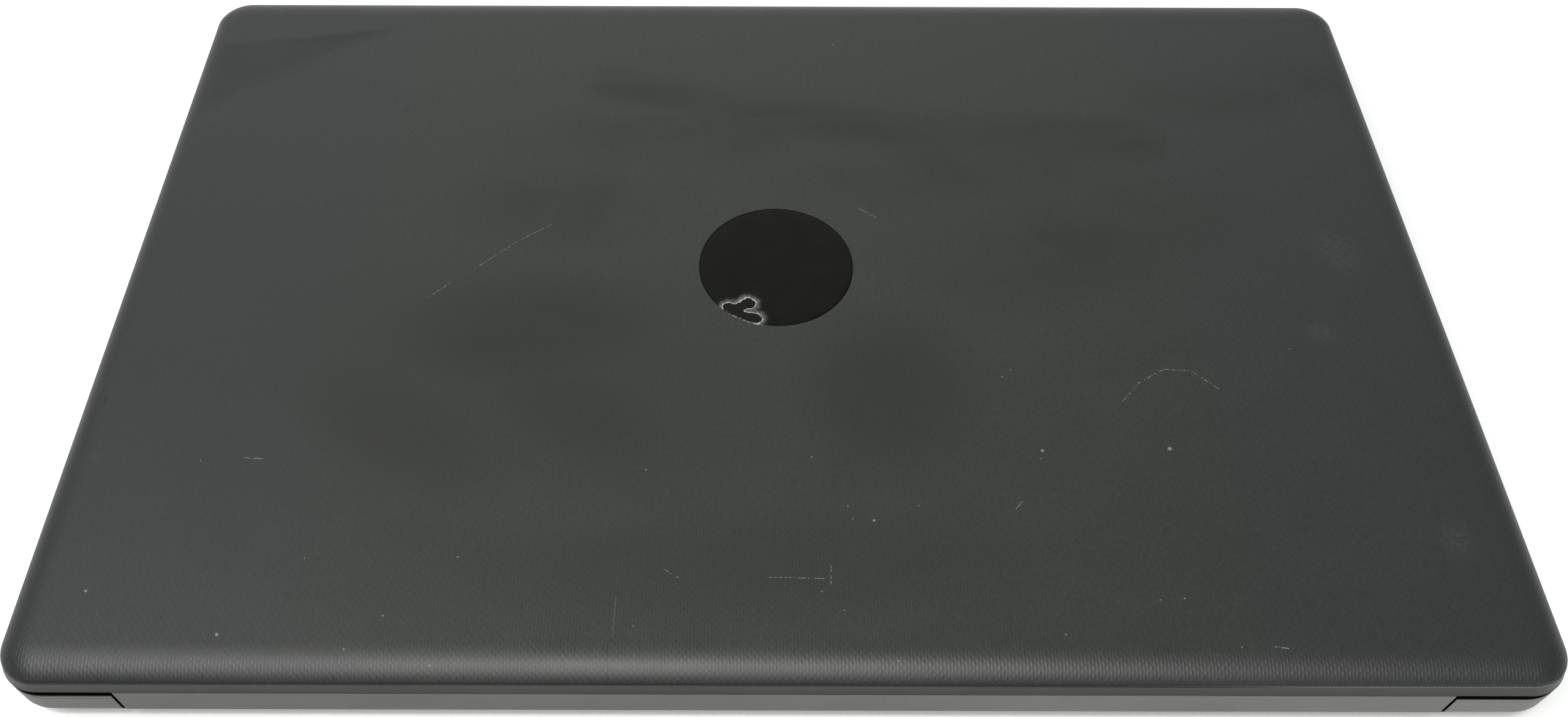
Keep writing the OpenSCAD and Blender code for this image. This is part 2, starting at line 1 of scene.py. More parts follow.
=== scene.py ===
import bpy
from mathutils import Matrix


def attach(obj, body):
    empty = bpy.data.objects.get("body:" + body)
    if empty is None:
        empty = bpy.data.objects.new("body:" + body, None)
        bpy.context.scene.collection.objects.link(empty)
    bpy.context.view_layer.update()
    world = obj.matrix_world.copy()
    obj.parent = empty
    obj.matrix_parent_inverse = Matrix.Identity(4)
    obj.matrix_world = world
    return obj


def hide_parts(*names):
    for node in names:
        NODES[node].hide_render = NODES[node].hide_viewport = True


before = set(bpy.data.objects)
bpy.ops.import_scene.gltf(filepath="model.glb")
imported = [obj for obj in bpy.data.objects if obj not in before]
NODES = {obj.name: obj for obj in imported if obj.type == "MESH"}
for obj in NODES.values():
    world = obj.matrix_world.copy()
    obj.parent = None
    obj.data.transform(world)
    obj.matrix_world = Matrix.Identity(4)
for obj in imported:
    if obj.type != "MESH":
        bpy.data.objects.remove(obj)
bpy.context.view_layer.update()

import math
import random

import bmesh
import bpy
from mathutils import Matrix, Vector

scene = bpy.context.scene
scene.view_settings.view_transform = "Standard"

# ------------------------------------------------------------------ camera
YAW, PITCH, ROLL = -0.0011, 0.9384, 0.0037
fwd = Vector((math.sin(YAW) * math.cos(PITCH), -math.cos(YAW) * math.cos(PITCH), -math.sin(PITCH)))
right = fwd.cross(Vector((0, 0, 1))).normalized()
up = right.cross(fwd)
r2 = right * math.cos(ROLL) + up * math.sin(ROLL)
u2 = -right * math.sin(ROLL) + up * math.cos(ROLL)
cam_data = bpy.data.cameras.new("camera")
cam = bpy.data.objects.new("camera", cam_data)
scene.collection.objects.link(cam)
rot = Matrix((r2, u2, -fwd)).transposed()
cam.matrix_world = Matrix.Translation((0.0092, 0.2486, 0.3219)) @ rot.to_4x4()
cam_data.sensor_fit = "HORIZONTAL"
cam_data.sensor_width = 36.0
cam_data.lens = 36.0 * 2217.2 / 2560
cam_data.shift_x = (1280 - 1220) / 2560
cam_data.clip_start = 0.01
cam_data.clip_end = 30
scene.camera = cam


# ------------------------------------------------------------------ small helpers
def link(o):
    scene.collection.objects.link(o)
    return o


def new_object(name, bm, mats, smooth=40.0):
    me = bpy.data.meshes.new(name)
    bm.normal_update()
    bm.to_mesh(me)
    bm.free()
    for m in mats:
        me.materials.append(m)
    for p in me.polygons:
        p.use_smooth = True
    me.set_sharp_from_angle(angle=math.radians(smooth))
    return link(bpy.data.objects.new(name, me))


def mm(*v):
    return Vector([x / 1000 for x in v])


# ------------------------------------------------------------------ shader graph helper
class G:
    """A material's node graph. Sockets are passed as (node, output index) or plain values."""

    def __init__(self, name):
        self.m = bpy.data.materials.new(name)
        self.m.use_nodes = True
        self.t = self.m.node_tree
        self.t.nodes.clear()
        self.out = self.t.nodes.new("ShaderNodeOutputMaterial")
        self.b = self.t.nodes.new("ShaderNodeBsdfPrincipled")
        self.t.links.new(self.b.outputs[0], self.out.inputs[0])

    def put(self, node, key, v):
        if v is None:
            return
        s = node.inputs[key]
        if isinstance(v, tuple) and len(v) == 2 and hasattr(v[0], "outputs"):
            self.t.links.new(v[0].outputs[v[1]], s)
        elif hasattr(v, "outputs"):
            self.t.links.new(v.outputs[0], s)
        else:
            s.default_value = v

    def node(self, kind, ins=None, **props):
        n = self.t.nodes.new(kind)
        for k, v in props.items():
            setattr(n, k, v)
        for k, v in (ins or {}).items():
            self.put(n, k, v)
        return n

    def math(self, op, a, b=None, c=None, clamp=False):
        n = self.node("ShaderNodeMath", operation=op, use_clamp=clamp)
        for i, v in enumerate((a, b, c)):
            self.put(n, i, v)
        return n

    def vmath(self, op, a, b=None, scale=None):
        n = self.node("ShaderNodeVectorMath", operation=op)
        self.put(n, 0, a)
        self.put(n, 1, b)
        if scale is not None:
            self.put(n, "Scale", scale)
        return n

    def obj(self):
        n = self.node("ShaderNodeTexCoord")
        return (n, 3)

    def attr(self, name):
        n = self.node("ShaderNodeAttribute", attribute_name=name)
        return (n, 1)

    def noise(self, co, scale, detail=3.0, rough=0.55, dist=0.0, out=0):
        n = self.node("ShaderNodeTexNoise", {"Vector": co, "Scale": scale, "Detail": detail, "Roughness": rough, "Distortion": dist})
        return (n, out)

    def voronoi(self, co, scale, out=0, rnd=1.0):
        n = self.node("ShaderNodeTexVoronoi", {"Vector": co, "Scale": scale, "Randomness": rnd})
        return (n, out)

    def ramp(self, v, lo, hi, a=0.0, b=1.0, smooth=True):
        n = self.node("ShaderNodeMapRange", {"Value": v, "From Min": lo, "From Max": hi, "To Min": a, "To Max": b}, interpolation_type="SMOOTHSTEP" if smooth else "LINEAR")
        return n

    def mix(self, f, a, b):
        n = self.node("ShaderNodeMix", data_type="RGBA")
        self.put(n, 0, f)
        self.put(n, 6, a)
        self.put(n, 7, b)
        return (n, 2)

    def bump(self, h, dist, strength=1.0, normal=None):
        n = self.node("ShaderNodeBump", {"Height": h, "Distance": dist, "Strength": strength})
        if normal is not None:
            self.put(n, "Normal", normal)
        return n

    def bevel(self, r):
        return self.node("ShaderNodeBevel", {"Radius": r}, samples=4)

    def sep(self, v):
        return self.node("ShaderNodeSeparateXYZ", {0: v})

    def scaled(self, co, s):
        n = self.node("ShaderNodeVectorMath", operation="MULTIPLY")
        self.put(n, 0, co)
        self.put(n, 1, s)
        return n


def rgb(r, g, b, a=1.0):
    return (r, g, b, a)


def painted_end_light(g, co, col, left, right):
    """Painted light: colour that brightens slowly along the case, from LEFT times COL at one end to RIGHT times COL at
    the other, as if more light falls on one end.
    """
    x = (g.sep(co), 0)
    k = g.ramp(x, -0.135, 0.110, right, left)
    return g.vmath("MULTIPLY", col, k)


def cap_gap(g, co):
    """1 on the end walls of the notch that the hinge cap sits in, where no light gets in."""
    sp = g.sep(co)
    ax = g.math("ABSOLUTE", (sp, 0))
    m = g.math("MULTIPLY", g.ramp(ax, 0.15910, 0.15920), g.ramp(ax, 0.15974, 0.16000, 1.0, 0.0))
    return g.math("MULTIPLY", m, g.ramp((sp, 1), 0.108, 0.111))


def moulded(name, col, rough=0.5, var=0.12, grain=2600, depth=0.000006, spec=0.5, fine_mix=0.5, coat=0.0, metal=0.0, edge=0.00015, shade=None, ends=None):
    """Moulded plastic or painted surface: tone that varies slowly at random, fine grain, a little uneven gloss and
    small rounded edges; ENDS adds painted light brighter towards one end, SHADE adds painted shade in black under its
    mask.
    """
    g = G(name)
    co = g.obj()
    big = g.noise(co, 18, 3)
    fine = g.noise(co, grain, 2, 0.6)
    lo = [max(0, c * (1 - var)) for c in col]
    hi = [min(1, c * (1 + var)) for c in col]
    tone = g.math("ADD", g.math("MULTIPLY", big, 1 - fine_mix), g.math("MULTIPLY", fine, fine_mix))
    base = g.mix(g.ramp(tone, 0.35, 0.65), rgb(*lo), rgb(*hi))
    # painted light: the colour brightens towards one end of the case
    if ends:
        base = painted_end_light(g, co, base, *ends)
    # painted shade: black where the SHADE mask is 1, and metallic there below so it reflects nothing
    if shade:
        base = g.mix(shade(g, co), base, rgb(0.002, 0.002, 0.002))
    g.put(g.b, "Base Color", base)
    smear = g.noise(co, 60, 6, 0.65)
    g.put(g.b, "Roughness", g.ramp(smear, 0.25, 0.75, rough - 0.025, rough + 0.03))
    g.b.inputs["Specular IOR Level"].default_value = spec
    g.b.inputs["Metallic"].default_value = metal
    if shade:
        g.put(g.b, "Metallic", shade(g, co))
    if coat:
        g.b.inputs["Coat Weight"].default_value = coat
        g.b.inputs["Coat Roughness"].default_value = 0.15
    n = g.bump(fine, depth, 1.0, g.bevel(edge) if edge else None)
    g.put(g.b, "Normal", n)
    return g.m


def metal(name, col, rough=0.32, dirn=(1, 60, 1), scale=900, depth=0.000002, edge=0.0001, var=0.15):
    """Sheet or turned metal with drawn grain."""
    g = G(name)
    co = g.obj()
    s = g.scaled(co, dirn)
    grain = g.noise(s, scale, 4, 0.65)
    big = g.noise(co, 30, 3)
    lo = [c * (1 - var) for c in col]
    hi = [min(1, c * (1 + var)) for c in col]
    g.put(g.b, "Base Color", g.mix(g.math("ADD", g.math("MULTIPLY", grain, 0.5), g.math("MULTIPLY", big, 0.5)), rgb(*lo), rgb(*hi)))
    g.b.inputs["Metallic"].default_value = 1.0
    g.put(g.b, "Roughness", g.ramp(grain, 0.3, 0.7, rough - 0.08, rough + 0.12))
    g.put(g.b, "Normal", g.bump(grain, depth, 1.0, g.bevel(edge) if edge else None))
    return g.m


# ------------------------------------------------------------------ rings around the plan
W, D, RC = 376.0, 246.0, 11.2


def plan_ring(o, n_corner=20, n_x=24, n_y=16, w=W, d=D, r=RC):
    """Points (x, y, nx, ny) around a rounded rectangle inset by o, in order, always the same count."""
    hx, hy = w / 2 - o, d / 2 - o
    rr = max(r - o, 0.6)
    cx, cy = hx - rr, hy - rr
    pts = []
    for k, (sx, sy) in enumerate(((1, 1), (-1, 1), (-1, -1), (1, -1))):
        a0 = k * math.pi / 2
        for i in range(n_corner + 1):
            a = a0 + math.pi / 2 * i / n_corner
            pts.append((sx * cx + rr * math.cos(a), sy * cy + rr * math.sin(a), math.cos(a), math.sin(a)))
        n = n_x if k % 2 == 0 else n_y
        ax, ay = pts[-1][:2]
        nx, ny = ((0, 1), (-1, 0), (0, -1), (1, 0))[k]
        bx, by = ((-cx, hy), (-hx, -cy), (cx, -hy), (hx, cy))[k]
        for i in range(1, n):
            t = i / n
            pts.append((ax + (bx - ax) * t, ay + (by - ay) * t, nx, ny))
    return pts


def bridge(bm, a, b, mat=0):
    n = len(a)
    for i in range(n):
        f = bm.faces.new((a[i], a[(i + 1) % n], b[(i + 1) % n], b[i]))
        f.material_index = mat


def circle_like(pts, cx, cy, r):
    """A circle with as many points as pts, each in the direction of its partner."""
    out = []
    for p in pts:
        a = math.atan2(p[1] - cy, p[0] - cx)
        out.append((cx + r * math.cos(a), cy + r * math.sin(a)))
    return out


# ------------------------------------------------------------------ marks on the lid's back
def segment_group():
    """Distance-based mask of a straight scratch from A to B."""
    ng = bpy.data.node_groups.new("segment", "ShaderNodeTree")
    for n, t in (("P", "NodeSocketVector"), ("A", "NodeSocketVector"), ("B", "NodeSocketVector"), ("Width", "NodeSocketFloat")):
        ng.interface.new_socket(n, in_out="INPUT", socket_type=t)
    ng.interface.new_socket("Mask", in_out="OUTPUT", socket_type="NodeSocketFloat")
    gi, go = ng.nodes.new("NodeGroupInput"), ng.nodes.new("NodeGroupOutput")

    def vm(op, a, b=None, s=None):
        n = ng.nodes.new("ShaderNodeVectorMath")
        n.operation = op
        ng.links.new(a, n.inputs[0])
        if b is not None:
            ng.links.new(b, n.inputs[1])
        if s is not None:
            ng.links.new(s, n.inputs["Scale"])
        return n

    pa = vm("SUBTRACT", gi.outputs["P"], gi.outputs["A"]).outputs[0]
    ba = vm("SUBTRACT", gi.outputs["B"], gi.outputs["A"]).outputs[0]
    num = vm("DOT_PRODUCT", pa, ba).outputs["Value"]
    den = vm("DOT_PRODUCT", ba, ba).outputs["Value"]
    h = ng.nodes.new("ShaderNodeMath")
    h.operation = "DIVIDE"
    h.use_clamp = True
    ng.links.new(num, h.inputs[0])
    ng.links.new(den, h.inputs[1])
    near = vm("SCALE", ba, s=h.outputs[0]).outputs[0]
    diff = vm("SUBTRACT", pa, near).outputs[0]
    dist = vm("LENGTH", diff).outputs["Value"]
    mr = ng.nodes.new("ShaderNodeMapRange")
    mr.interpolation_type = "SMOOTHSTEP"
    ng.links.new(dist, mr.inputs["Value"])
    mr.inputs["From Min"].default_value = 0.0
    ng.links.new(gi.outputs["Width"], mr.inputs["From Max"])
    mr.inputs["To Min"].default_value = 1.0
    mr.inputs["To Max"].default_value = 0.0
    ng.links.new(mr.outputs[0], go.inputs[0])
    return ng


SEG = segment_group()


def segment(g, p, a, b, width):
    n = g.t.nodes.new("ShaderNodeGroup")
    n.node_tree = SEG
    g.put(n, "P", p)
    n.inputs["A"].default_value = (a[0], a[1], 0)
    n.inputs["B"].default_value = (b[0], b[1], 0)
    n.inputs["Width"].default_value = width
    return n


def total(g, parts):
    acc = parts[0]
    for p in parts[1:]:
        acc = g.math("MAXIMUM", acc, p)
    return acc


def blob(g, p, x, y, rx, ry, turn=0.0):
    """Soft round patch, 1 in the middle."""
    n = g.node("ShaderNodeMapping", {"Vector": p}, vector_type="TEXTURE")
    n.inputs["Location"].default_value = (x, y, 0)
    n.inputs["Rotation"].default_value = (0, 0, math.radians(turn))
    n.inputs["Scale"].default_value = (rx, ry, 1)
    flat = g.vmath("MULTIPLY", n, (1, 1, 0))
    ln = g.vmath("LENGTH", flat)
    return g.ramp((ln, 1), 0.15, 1.0, 1.0, 0.0)


def fleck(g, p, x, y, r):
    """Small round fleck, 1 in the middle."""
    return g.ramp((g.vmath("DISTANCE", p, (x, y, 0.0)), 1), 0.0, r, 1.0, 0.0)


def reach(g, p, a, b, r):
    """Distance in the flat from the thick line A to B of radius R, below 0 inside it."""
    ba = (b[0] - a[0], b[1] - a[1], 0.0)
    pa = g.vmath("SUBTRACT", p, (a[0], a[1], 0.0))
    h = g.math("DIVIDE", (g.vmath("DOT_PRODUCT", pa, ba), 1), ba[0] ** 2 + ba[1] ** 2)
    h = g.math("MINIMUM", g.math("MAXIMUM", h, 0.0), 1.0)
    near = g.vmath("MULTIPLY", h, ba)
    return g.math("SUBTRACT", (g.vmath("LENGTH", g.vmath("SUBTRACT", pa, near)), 1), r)


def woven(g, p, col=0.85, per=2.1):
    """Height of short staggered strokes in columns, 0 to 1, over millimetre co-ordinates."""
    wob = g.noise(p, 0.55, 2, 0.5, out=1)
    pw = g.vmath("ADD", p, g.vmath("MULTIPLY", g.vmath("SUBTRACT", wob, (0.5, 0.5, 0.5)), (0.10, 0.5, 0)))
    s = g.sep(pw)
    u = g.math("DIVIDE", (s, 0), col)
    odd = g.math("MULTIPLY", g.math("FLOORED_MODULO", g.math("FLOOR", u), 2.0), 0.5)
    v = g.math("ADD", g.math("DIVIDE", (s, 1), per), odd)
    cu = g.math("MULTIPLY_ADD", g.math("COSINE", g.math("MULTIPLY", g.math("SUBTRACT", g.math("FRACT", u), 0.5), 2 * math.pi)), 0.5, 0.5)
    cv = g.math("MULTIPLY_ADD", g.math("COSINE", g.math("MULTIPLY", g.math("SUBTRACT", g.math("FRACT", v), 0.5), 2 * math.pi)), 0.5, 0.5)
    return g.math("MULTIPLY", g.math("POWER", cu, 2.0), g.math("POWER", cv, 0.8))


def lid_film():
    """Graphite film with a woven relief of short staggered strokes, smudges, scratches and specks. Works in millimetres along the surface."""
    g = G("lid_film")
    p = g.attr("pat")
    relief = woven(g, p)
    fine = g.noise(p, 4.0, 2, 0.6)
    height = g.math("ADD", relief, g.math("MULTIPLY", fine, 0.75))

    # tone: broad slow variation, hand grease in soft patches, a darker lifted wedge by one corner, painted shade
    # between the strokes of the relief
    cloudy = g.noise(g.scaled(p, (0.028, 0.040, 1)), 1.0, 5, 0.58, 0.8)
    streak = g.noise(g.scaled(p, (0.02, 0.10, 1)), 1.0, 4, 0.55, 0.4)
    smear = total(g, [segment(g, p, (52, -79), (7, -67.5), 13.0), segment(g, p, (7, -67.5), (-36, -59), 15.0), segment(g, p, (-36, -59), (-112, -55), 14.0)])
    palm = total(g, [blob(g, p, 70, 20, 56, 30, 3), g.math("MULTIPLY", blob(g, p, 55, 46, 44, 24, -25), 0.75), g.math("MULTIPLY", blob(g, p, 100, 52, 50, 24, -30), 0.65),
                     g.math("MULTIPLY", blob(g, p, -28, 39, 34, 38, 0), 0.85), g.math("MULTIPLY", blob(g, p, 66, 34, 100, 62, -8), 0.34)])
    soft = total(g, [blob(g, p, -86, -13, 70, 30, 14), blob(g, p, 64, -27, 46, 26, 0), blob(g, p, 20, -58, 90, 22, 6), blob(g, p, -50, -44, 80, 26, 4), blob(g, p, -150, -78, 50, 18, 10), blob(g, p, 10, 92, 110, 20, 2)])
    grease = g.math("MAXIMUM", g.math("MULTIPLY", palm, g.ramp(cloudy, 0.30, 0.66, 0.62, 1.0)), g.math("MAXIMUM", g.math("MULTIPLY", smear, g.ramp(streak, 0.3, 0.65, 0.35, 0.80)), g.math("MULTIPLY", soft, g.ramp(cloudy, 0.35, 0.65, 0.15, 0.6))))
    from_tip = g.vmath("SUBTRACT", p, (118.5, -108.3, 0.0))
    below = (g.vmath("DOT_PRODUCT", from_tip, (-0.1524, 0.988, 0.0)), 1)
    above = (g.vmath("DOT_PRODUCT", from_tip, (0.574, -0.818, 0.0)), 1)
    wedge = g.math("MULTIPLY", g.ramp(below, -0.6, 2.0), g.ramp(above, 0.2, 6.0))
    wedge = g.math("MULTIPLY", wedge, g.ramp(below, 1.0, 11.0, 1.0, 0.62))
    wedge = g.math("MULTIPLY", wedge, g.ramp((g.sep(p), 0), 187.0, 179.0, 0.0, 1.0))
    wedge = g.math("MULTIPLY", wedge, g.ramp(streak, 0.3, 0.6, 0.70, 1.0))
    lift = total(g, [segment(g, p, (132, -104), (152, -90), 1.4), segment(g, p, (152, -90), (169, -80), 1.6), segment(g, p, (169, -80), (179, -58), 2.4)])
    pale = total(g, [blob(g, p, -162, -10, 9, 13, 20), blob(g, p, -168, 84.5, 6, 8, 0), blob(g, p, 178.1, 61.2, 3.0, 2.4, 0), blob(g, p, -150, 20, 6, 5, 0)])
    pale = g.math("MULTIPLY", pale, g.ramp(g.noise(p, 0.8, 4, 0.7), 0.42, 0.7))

    sp = g.sep(p)
    side = g.ramp(g.math("ABSOLUTE", (sp, 0)), 70, 185)
    base = g.mix(g.ramp(cloudy, 0.3, 0.7), rgb(0.0192, 0.0208, 0.0188), rgb(0.0220, 0.0234, 0.0214))
    base = g.mix(side, base, rgb(0.0188, 0.0200, 0.0210))
    mott = g.noise(p, 0.8, 4, 0.75)
    base = g.mix(g.ramp(mott, 0.35, 0.65, 0.0, 0.45), base, rgb(0.0070, 0.0076, 0.0070))
    # painted shade: darker in the hollows between the raised strokes
    base = g.mix(g.math("MULTIPLY", g.math("SUBTRACT", 1.0, relief), 0.22), base, rgb(0.0085, 0.0092, 0.0085))
    base = g.mix(g.math("MULTIPLY", grease, 0.92), base, rgb(0.0042, 0.0047, 0.0026))
    base = g.mix(g.math("MULTIPLY", wedge, 0.80), base, rgb(0.0022, 0.0028, 0.0034))
    base = g.mix(g.math("MULTIPLY", lift, 0.03), base, rgb(0.10, 0.10, 0.10))
    base = g.mix(g.math("MULTIPLY", pale, 0.14), base, rgb(0.16, 0.17, 0.17))

    # scratches: thin broken lines
    hard = total(g, [
        segment(g, p, (99.3, 8.2), (93.6, 2.8), 0.2), segment(g, p, (87.3, -2.5), (75.7, -13.2), 0.17), segment(g, p, (75.7, -13.2), (66.8, -19.5), 0.17),
        segment(g, p, (-24.1, -26.4), (-29.0, -22.7), 0.2),
        segment(g, p, (3.7, 95.5), (-10.6, 95.8), 0.16), segment(g, p, (-11.8, 92.0), (-11.6, 97.3), 0.16),
        segment(g, p, (-91.5, 43.0), (-96.9, 36.9), 0.16), segment(g, p, (-96.9, 36.9), (-104.3, 32.4), 0.2), segment(g, p, (-104.3, 32.4), (-111.7, 33.0), 0.2), segment(g, p, (-111.7, 33.0), (-118.0, 38.9), 0.16),
        segment(g, p, (139.1, 61.6), (134.3, 61.8), 0.3), segment(g, p, (29.1, 93.5), (25.3, 95.9), 0.16), segment(g, p, (-59.0, 76.3), (-61.2, 73.8), 0.24),
        segment(g, p, (-116.2, 113.4), (-119.3, 113.8), 0.22)])
    broken = g.ramp(g.noise(p, 1.5, 2, 0.6), 0.45, 0.60, 0.0, 1.0)
    hard = g.math("MULTIPLY", hard, broken)
    faint = g.math("MULTIPLY", segment(g, p, (40.6, 101.0), (40.9, 111.6), 0.25), 0.16)
    hard = g.math("MAXIMUM", hard, faint)
    dark = g.math("MULTIPLY", total(g, [segment(g, p, (41.6, 121.5), (41.8, 113.5), 0.45), segment(g, p, (41.8, 113.5), (40.6, 111.0), 0.3)]), 0.7)
    speck = g.ramp(g.voronoi(p, 0.085), 0.0, 0.013, 1.0, 0.0)
    dust = g.math("MULTIPLY", g.ramp(g.voronoi(p, 0.26), 0.0, 0.020, 1.0, 0.0), g.ramp(g.noise(p, 0.03, 2), 0.46, 0.56))
    spots = total(g, [blob(g, p, x, y, r, r) for x, y, r in ((-68.0, 58.7, 0.6), (134.9, 111.0, 0.6), (169.3, 99.7, 0.5), (-101.3, 58.0, 0.8), (-23.0, 79.6, 0.5))])
    tiny = total(g, [fleck(g, p, x, y, r) for x, y, r in (
        (35.0, 64.9, 0.34), (-7.8, 60.8, 0.34), (80.3, 90.2, 0.36), (96.2, 106.0, 0.40), (104.1, 114.6, 0.40), (83.4, 118.4, 0.34), (-67.2, 61.1, 0.34), (-97.1, 100.9, 0.36),
        (-91.2, 101.3, 0.30), (-108.3, 113.5, 0.30), (-67.1, 110.4, 0.34), (-60.0, 35.2, 0.36), (-16.6, 75.4, 0.32), (-17.7, 79.1, 0.28), (-9.3, 99.3, 0.30), (-34.6, 75.3, 0.30),
        (-26.9, 117.0, 0.30), (36.0, 108.5, 0.32), (-19.1, -99.0, 0.42), (-14.5, 104.3, 0.28), (-62.6, 32.9, 0.26), (150.3, 62.5, 0.30), (-140.2, 25.4, 0.30), (118.0, 90.6, 0.28))])
    spots = g.math("MAXIMUM", spots, g.math("MULTIPLY", tiny, 0.8))
    bright = g.math("MAXIMUM", g.math("MAXIMUM", hard, g.math("MULTIPLY", speck, 0.7)), g.math("MAXIMUM", g.math("MULTIPLY", dust, 0.35), spots))
    nicks = total(g, [blob(g, p, x, y, r, r * 0.7) for x, y, r in ((116.3, -67.3, 1.0), (61.7, -62.8, 0.8), (180.4, 43.3, 1.1), (-36, 3, 0.6))])
    base = g.mix(g.math("MULTIPLY", bright, 0.42), base, rgb(0.42, 0.44, 0.45))
    base = g.mix(g.math("MAXIMUM", dark, nicks), base, rgb(0.004, 0.004, 0.004))
    low = (g.sep(g.obj()), 2)
    along = (g.sep(g.obj()), 0)
    # painted shade: a dark line along the lowest part of the roll just above the crease, weaker towards the -X end
    base = g.mix(g.math("MULTIPLY", g.ramp(low, 0.0192, 0.0199, 0.85, 0.0), g.ramp(along, -0.105, -0.078, 0.2, 1.0)), base, rgb(0.0018, 0.0020, 0.0017))
    # painted highlight: a light line along the crease towards the -X end
    base = g.mix(g.math("MULTIPLY", g.ramp(low, 0.01915, 0.0194, 0.8, 0.0), g.ramp(along, -0.130, -0.100, 1.0, 0.0)), base, rgb(0.100, 0.106, 0.096))
    g.put(g.b, "Base Color", base)
    rough = g.ramp(g.math("ADD", g.math("MULTIPLY", cloudy, 0.7), g.math("MULTIPLY", fine, 0.3)), 0.3, 0.7, 0.32, 0.38)
    rough = g.math("ADD", rough, g.math("MULTIPLY", g.math("SUBTRACT", 1.0, relief), 0.10))
    g.put(g.b, "Roughness", g.math("ADD", rough, g.math("MULTIPLY", grease, 0.03)))
    g.b.inputs["Specular IOR Level"].default_value = 0.5
    g.put(g.b, "Normal", g.bump(height, 0.000030, 1.0))
    return g.m


# ------------------------------------------------------------------ materials
M = {}
M["lid_film"] = lid_film()


def lid_band():
    """Smooth painted rim below the film; painted shade fills the groove above it, turning into a painted highlight
    towards the -X end.
    """
    g = G("lid_band")
    co = g.obj()
    fine = g.noise(co, 1900, 2, 0.6)
    big = g.noise(co, 18, 3)
    tone = g.math("ADD", g.math("MULTIPLY", big, 0.5), g.math("MULTIPLY", fine, 0.5))
    base = g.mix(g.ramp(tone, 0.35, 0.65), rgb(0.0135, 0.0146, 0.0130), rgb(0.0168, 0.0180, 0.0162))
    z = (g.sep(co), 2)
    # painted shade in the groove, black, giving way to a painted highlight towards the -X end
    groove = g.mix(g.ramp((g.sep(co), 0), -0.128, -0.092), rgb(0.085, 0.090, 0.081), rgb(0.0012, 0.0012, 0.0012))
    base = g.mix(g.ramp(z, 0.01872, 0.01879), base, groove)
    g.put(g.b, "Base Color", base)
    g.put(g.b, "Roughness", g.ramp(g.noise(co, 60, 6, 0.65), 0.25, 0.75, 0.44, 0.50))
    g.put(g.b, "Normal", g.bump(fine, 0.000008, 1.0))
    return g.m


M["lid_band"] = lid_band()
M["lid_inner"] = moulded("lid_inner", (0.018, 0.018, 0.018), rough=0.6)
# hinge cap and case: painted light brighter towards the -X end; the case also gets painted shade on the hinge-cap notch
# walls
M["hinge_grey"] = moulded("hinge_grey", (0.078, 0.079, 0.070), rough=0.52, var=0.10, grain=2100, depth=0.000008, edge=0, ends=(0.84, 1.3))
M["case_plastic"] = moulded("case_plastic", (0.084, 0.084, 0.077), rough=0.52, var=0.10, grain=2100, depth=0.00001, edge=0.0002, shade=cap_gap, ends=(1.0, 1.5))


def deck():
    """Dark palm rest: fine spark texture on top, painted shade (black, and metallic so it reflects nothing) in the seam
    round the rim and on the hinge-cap notch walls, case grey on the outer wall below it with painted light brighter
    towards one end.
    """
    g = G("deck_plastic")
    co = g.obj()
    fine = g.noise(co, 2300, 2, 0.6)
    big = g.noise(co, 14, 3)
    tone = g.math("ADD", g.math("MULTIPLY", big, 0.5), g.math("MULTIPLY", fine, 0.5))
    z = (g.sep(co), 2)
    top = g.mix(g.ramp(tone, 0.35, 0.65), rgb(0.0270, 0.0275, 0.0268), rgb(0.0340, 0.0345, 0.0338))
    wall = g.mix(g.ramp(tone, 0.35, 0.65), rgb(0.074, 0.074, 0.068), rgb(0.090, 0.090, 0.082))
    # painted light: the wall brightens towards the -X end
    wall = painted_end_light(g, co, wall, 1.0, 1.5)
    # painted shade: the seam under the lid's rim is black
    base = g.mix(g.ramp(z, 0.01378, 0.01392), wall, rgb(0.0022, 0.0022, 0.0022))
    base = g.mix(g.ramp(z, 0.01462, 0.01485), base, top)
    # the seam and notch masks also make the surface metallic, so the painted shade there reflects nothing
    seam = g.math("MULTIPLY", g.ramp(z, 0.01380, 0.01392), g.ramp(z, 0.01462, 0.01480, 1.0, 0.0))
    # painted shade: black on the notch walls by the hinge cap
    gap = g.math("MULTIPLY", cap_gap(g, co), g.ramp(z, 0.01462, 0.01480, 1.0, 0.0))
    base = g.mix(gap, base, rgb(0.002, 0.002, 0.002))
    seam = g.math("MAXIMUM", seam, gap)
    g.put(g.b, "Metallic", seam)
    g.put(g.b, "Base Color", base)
    g.put(g.b, "Roughness", g.ramp(g.noise(co, 60, 6, 0.65), 0.25, 0.75, 0.50, 0.55))
    g.b.inputs["Specular IOR Level"].default_value = 0.45
    g.put(g.b, "Normal", g.bump(fine, 0.00001, 1.0, g.bevel(0.0002)))
    return g.m


M["deck_plastic"] = deck()
M["frame_black"] = moulded("frame_black", (0.010, 0.010, 0.011), rough=0.55, var=0.2, grain=2400, depth=0.00001)
M["black_plastic"] = moulded("black_plastic", (0.012, 0.012, 0.013), rough=0.5, var=0.2)
M["web_black"] = moulded("web_black", (0.005, 0.005, 0.0053), rough=0.55, var=0.15, spec=0.25)
M["key_plastic"] = moulded("key_plastic", (0.0062, 0.0062, 0.0066), rough=0.54, var=0.2, grain=2800, depth=0.000008, edge=0, spec=0.32)
M["legend"] = moulded("legend", (0.55, 0.56, 0.56), rough=0.6, var=0.06, edge=0)
M["pad_plastic"] = moulded("pad_plastic", (0.027, 0.028, 0.0275), rough=0.46, var=0.08, grain=3500, depth=0.000004, spec=0.4)
M["button_plastic"] = moulded("button_plastic", (0.030, 0.031, 0.030), rough=0.48, var=0.1, grain=2600, spec=0.4)
M["rubber"] = moulded("rubber", (0.011, 0.011, 0.011), rough=0.75, var=0.3, grain=1500, depth=0.00002, spec=0.3)
